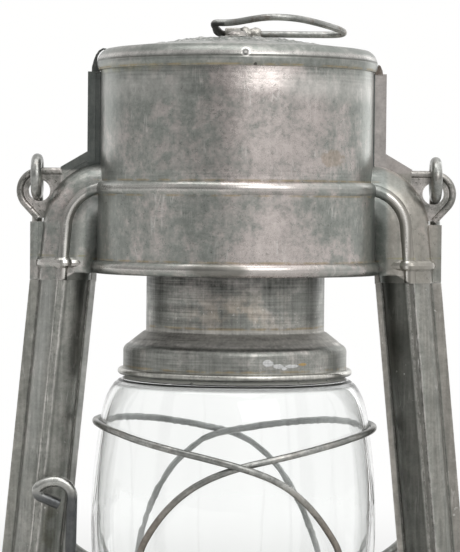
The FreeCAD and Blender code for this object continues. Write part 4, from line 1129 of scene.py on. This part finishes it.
# %% [markdown]
# The wick is a flat woven cotton band. Its ribs run along it, and its end is charred. A slab would look
# like card, so the band gets rounded edges here, and the weave comes from two crossed waves.

# %% The woven wick
wick_low, wick_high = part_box("wick")
wick_turn = math.radians(-50)
wick_width, wick_thick = 0.0154, 0.0015
rib_pitch, row_pitch = 0.0011, 0.0008


def woven_wick():
    mesh = bmesh.new()
    bmesh.ops.create_cube(mesh, size=1.0)
    bmesh.ops.scale(mesh, vec=(wick_width, wick_thick, wick_high.z - wick_low.z - 0.0004), verts=mesh.verts)
    upright = [e for e in mesh.edges if abs(e.verts[0].co.z - e.verts[1].co.z) > 0.001]
    round_edges(mesh, upright, 0.0006, 4)
    middle = (wick_high.z + wick_low.z) / 2
    bmesh.ops.translate(mesh, vec=(0, 0, middle), verts=mesh.verts)
    bmesh.ops.rotate(mesh, cent=(0, 0, 0), matrix=Matrix.Rotation(wick_turn, 3, "Z"), verts=mesh.verts)
    return mesh


def cotton_finish():
    paint = Paint("cotton wick", Metallic=0.0)
    across = paint.x * math.cos(wick_turn) + paint.y * math.sin(wick_turn)
    ribs = (across * (math.tau / rib_pitch)).math("SINE") * 0.5 + 0.5
    rows = (paint.z * (math.tau / row_pitch)).math("SINE") * 0.5 + 0.5
    weave = ribs * 0.6 + rows * 0.4
    char = (paint.z + (paint.noise(0.002) - 0.5) * 0.002).between(wick_high.z - 0.004, wick_high.z - 0.001)
    colour = paint.mixed(weave, (0.42, 0.37, 0.28), (0.72, 0.67, 0.56))
    colour = paint.mixed(char, colour, (0.015, 0.012, 0.010))
    return paint.finish(Base_Color=colour, Roughness=0.9, Normal=paint.bumped(weave * 0.00025))


add_piece("wick_band", woven_wick(), "wick", "cotton_wick", cotton_finish(), "wick")

# %% [markdown]
# The studio is a pale floor and a white room. The floor is lit by the lamps near the lantern, where it
# takes the shadow, and turns to even white further out for the camera, for mirrors and through glass.
# A metal shows what stands around it. In the metal's reflections the room is white behind the lantern,
# light on the right, grey on the left and brighter overhead.

# %% Floor and room
def rays(tree):
    """1 where the camera looks straight, in a mirror image, and through glass."""
    kinds = ("Is Camera Ray", "Is Glossy Ray", "Is Transmission Ray")
    return [tree.node("LightPath", output=kind) for kind in kinds]


def floor():
    mesh = bmesh.new()
    bmesh.ops.create_grid(mesh, x_segments=8, y_segments=8, size=6.0)
    data = bpy.data.meshes.new("studio_floor")
    mesh.to_mesh(data)
    mesh.free()
    made = bpy.data.objects.new("studio_floor", data)
    bpy.context.scene.collection.objects.link(made)
    paint = Paint("floor white", Roughness=0.9)
    away = length(paint.x, paint.y).between(0.30, 1.1)
    camera_ray, mirror, through = rays(paint)
    paint.finish(Base_Color=(0.86, 0.86, 0.85, 1.0))
    glow = paint.node("Emission", {}, {"Color": (1, 1, 0.995, 1), "Strength": 1.0})
    paint.overlaid(away * camera_ray.most(mirror).most(through), glow)
    made.data.materials.append(paint.material)


def room():
    world = bpy.data.worlds.new("studio")
    world.use_nodes = True
    bpy.context.scene.world = world
    tree = NodeTree(world.node_tree)
    x, y, z = tree.split(tree.node("TexCoord", output="Generated"))
    behind = y.between(0.35, 0.95)
    sides = 0.18 + x.between(-0.30, 0.30) * 0.70 - x.between(0.45, 0.75) * 0.10
    sides = sides + (0 - x).between(0.55, 0.90) * 0.22 + z.between(0.02, 0.80) * 0.55
    mirrored = behind + (1 - behind) * sides
    camera_ray, mirror, through = rays(tree)
    white = camera_ray.most(through)
    level = white + (1 - white) * (mirror * mirrored + (1 - mirror) * 0.50)
    background = world.node_tree.nodes["Background"]
    tree.feed(background.inputs["Color"], (1.0, 1.0, 0.995, 1.0))
    tree.feed(background.inputs["Strength"], level)


floor()
room()

# %% [markdown]
# Four soft lamps. The key lamp stands at the front right, and a wide one hangs overhead. A narrow
# upright one at the rear right and a weak one at the rear left light the edges. Each is an area lamp,
# because its size sets how soft the highlight is.

# %% Lamps
lamp_target = Vector((0, 0, 0.19))


def lamp(name, place, size, radiance):
    """An area lamp that faces the lantern. It is set by radiance, its brightness in a mirror."""
    data = bpy.data.lights.new(name, "AREA")
    data.shape = "RECTANGLE"
    data.size, data.size_y = size
    data.energy = radiance * math.pi * size[0] * size[1]
    made = bpy.data.objects.new(name, data)
    bpy.context.scene.collection.objects.link(made)
    made.location = place
    aim = lamp_target - Vector(place)
    made.rotation_euler = aim.to_track_quat("-Z", "Y").to_euler()


lamp("lamp_key", (0.52, -1.18, 0.95), (0.85, 0.65), 2.6)
lamp("lamp_top", (-0.15, -0.30, 1.55), (1.3, 0.6), 2.2)
lamp("lamp_side", (0.78, 0.98, 0.35), (0.30, 0.9), 1.4)
lamp("lamp_left", (-1.0, 0.85, 0.45), (0.5, 0.9), 0.5)
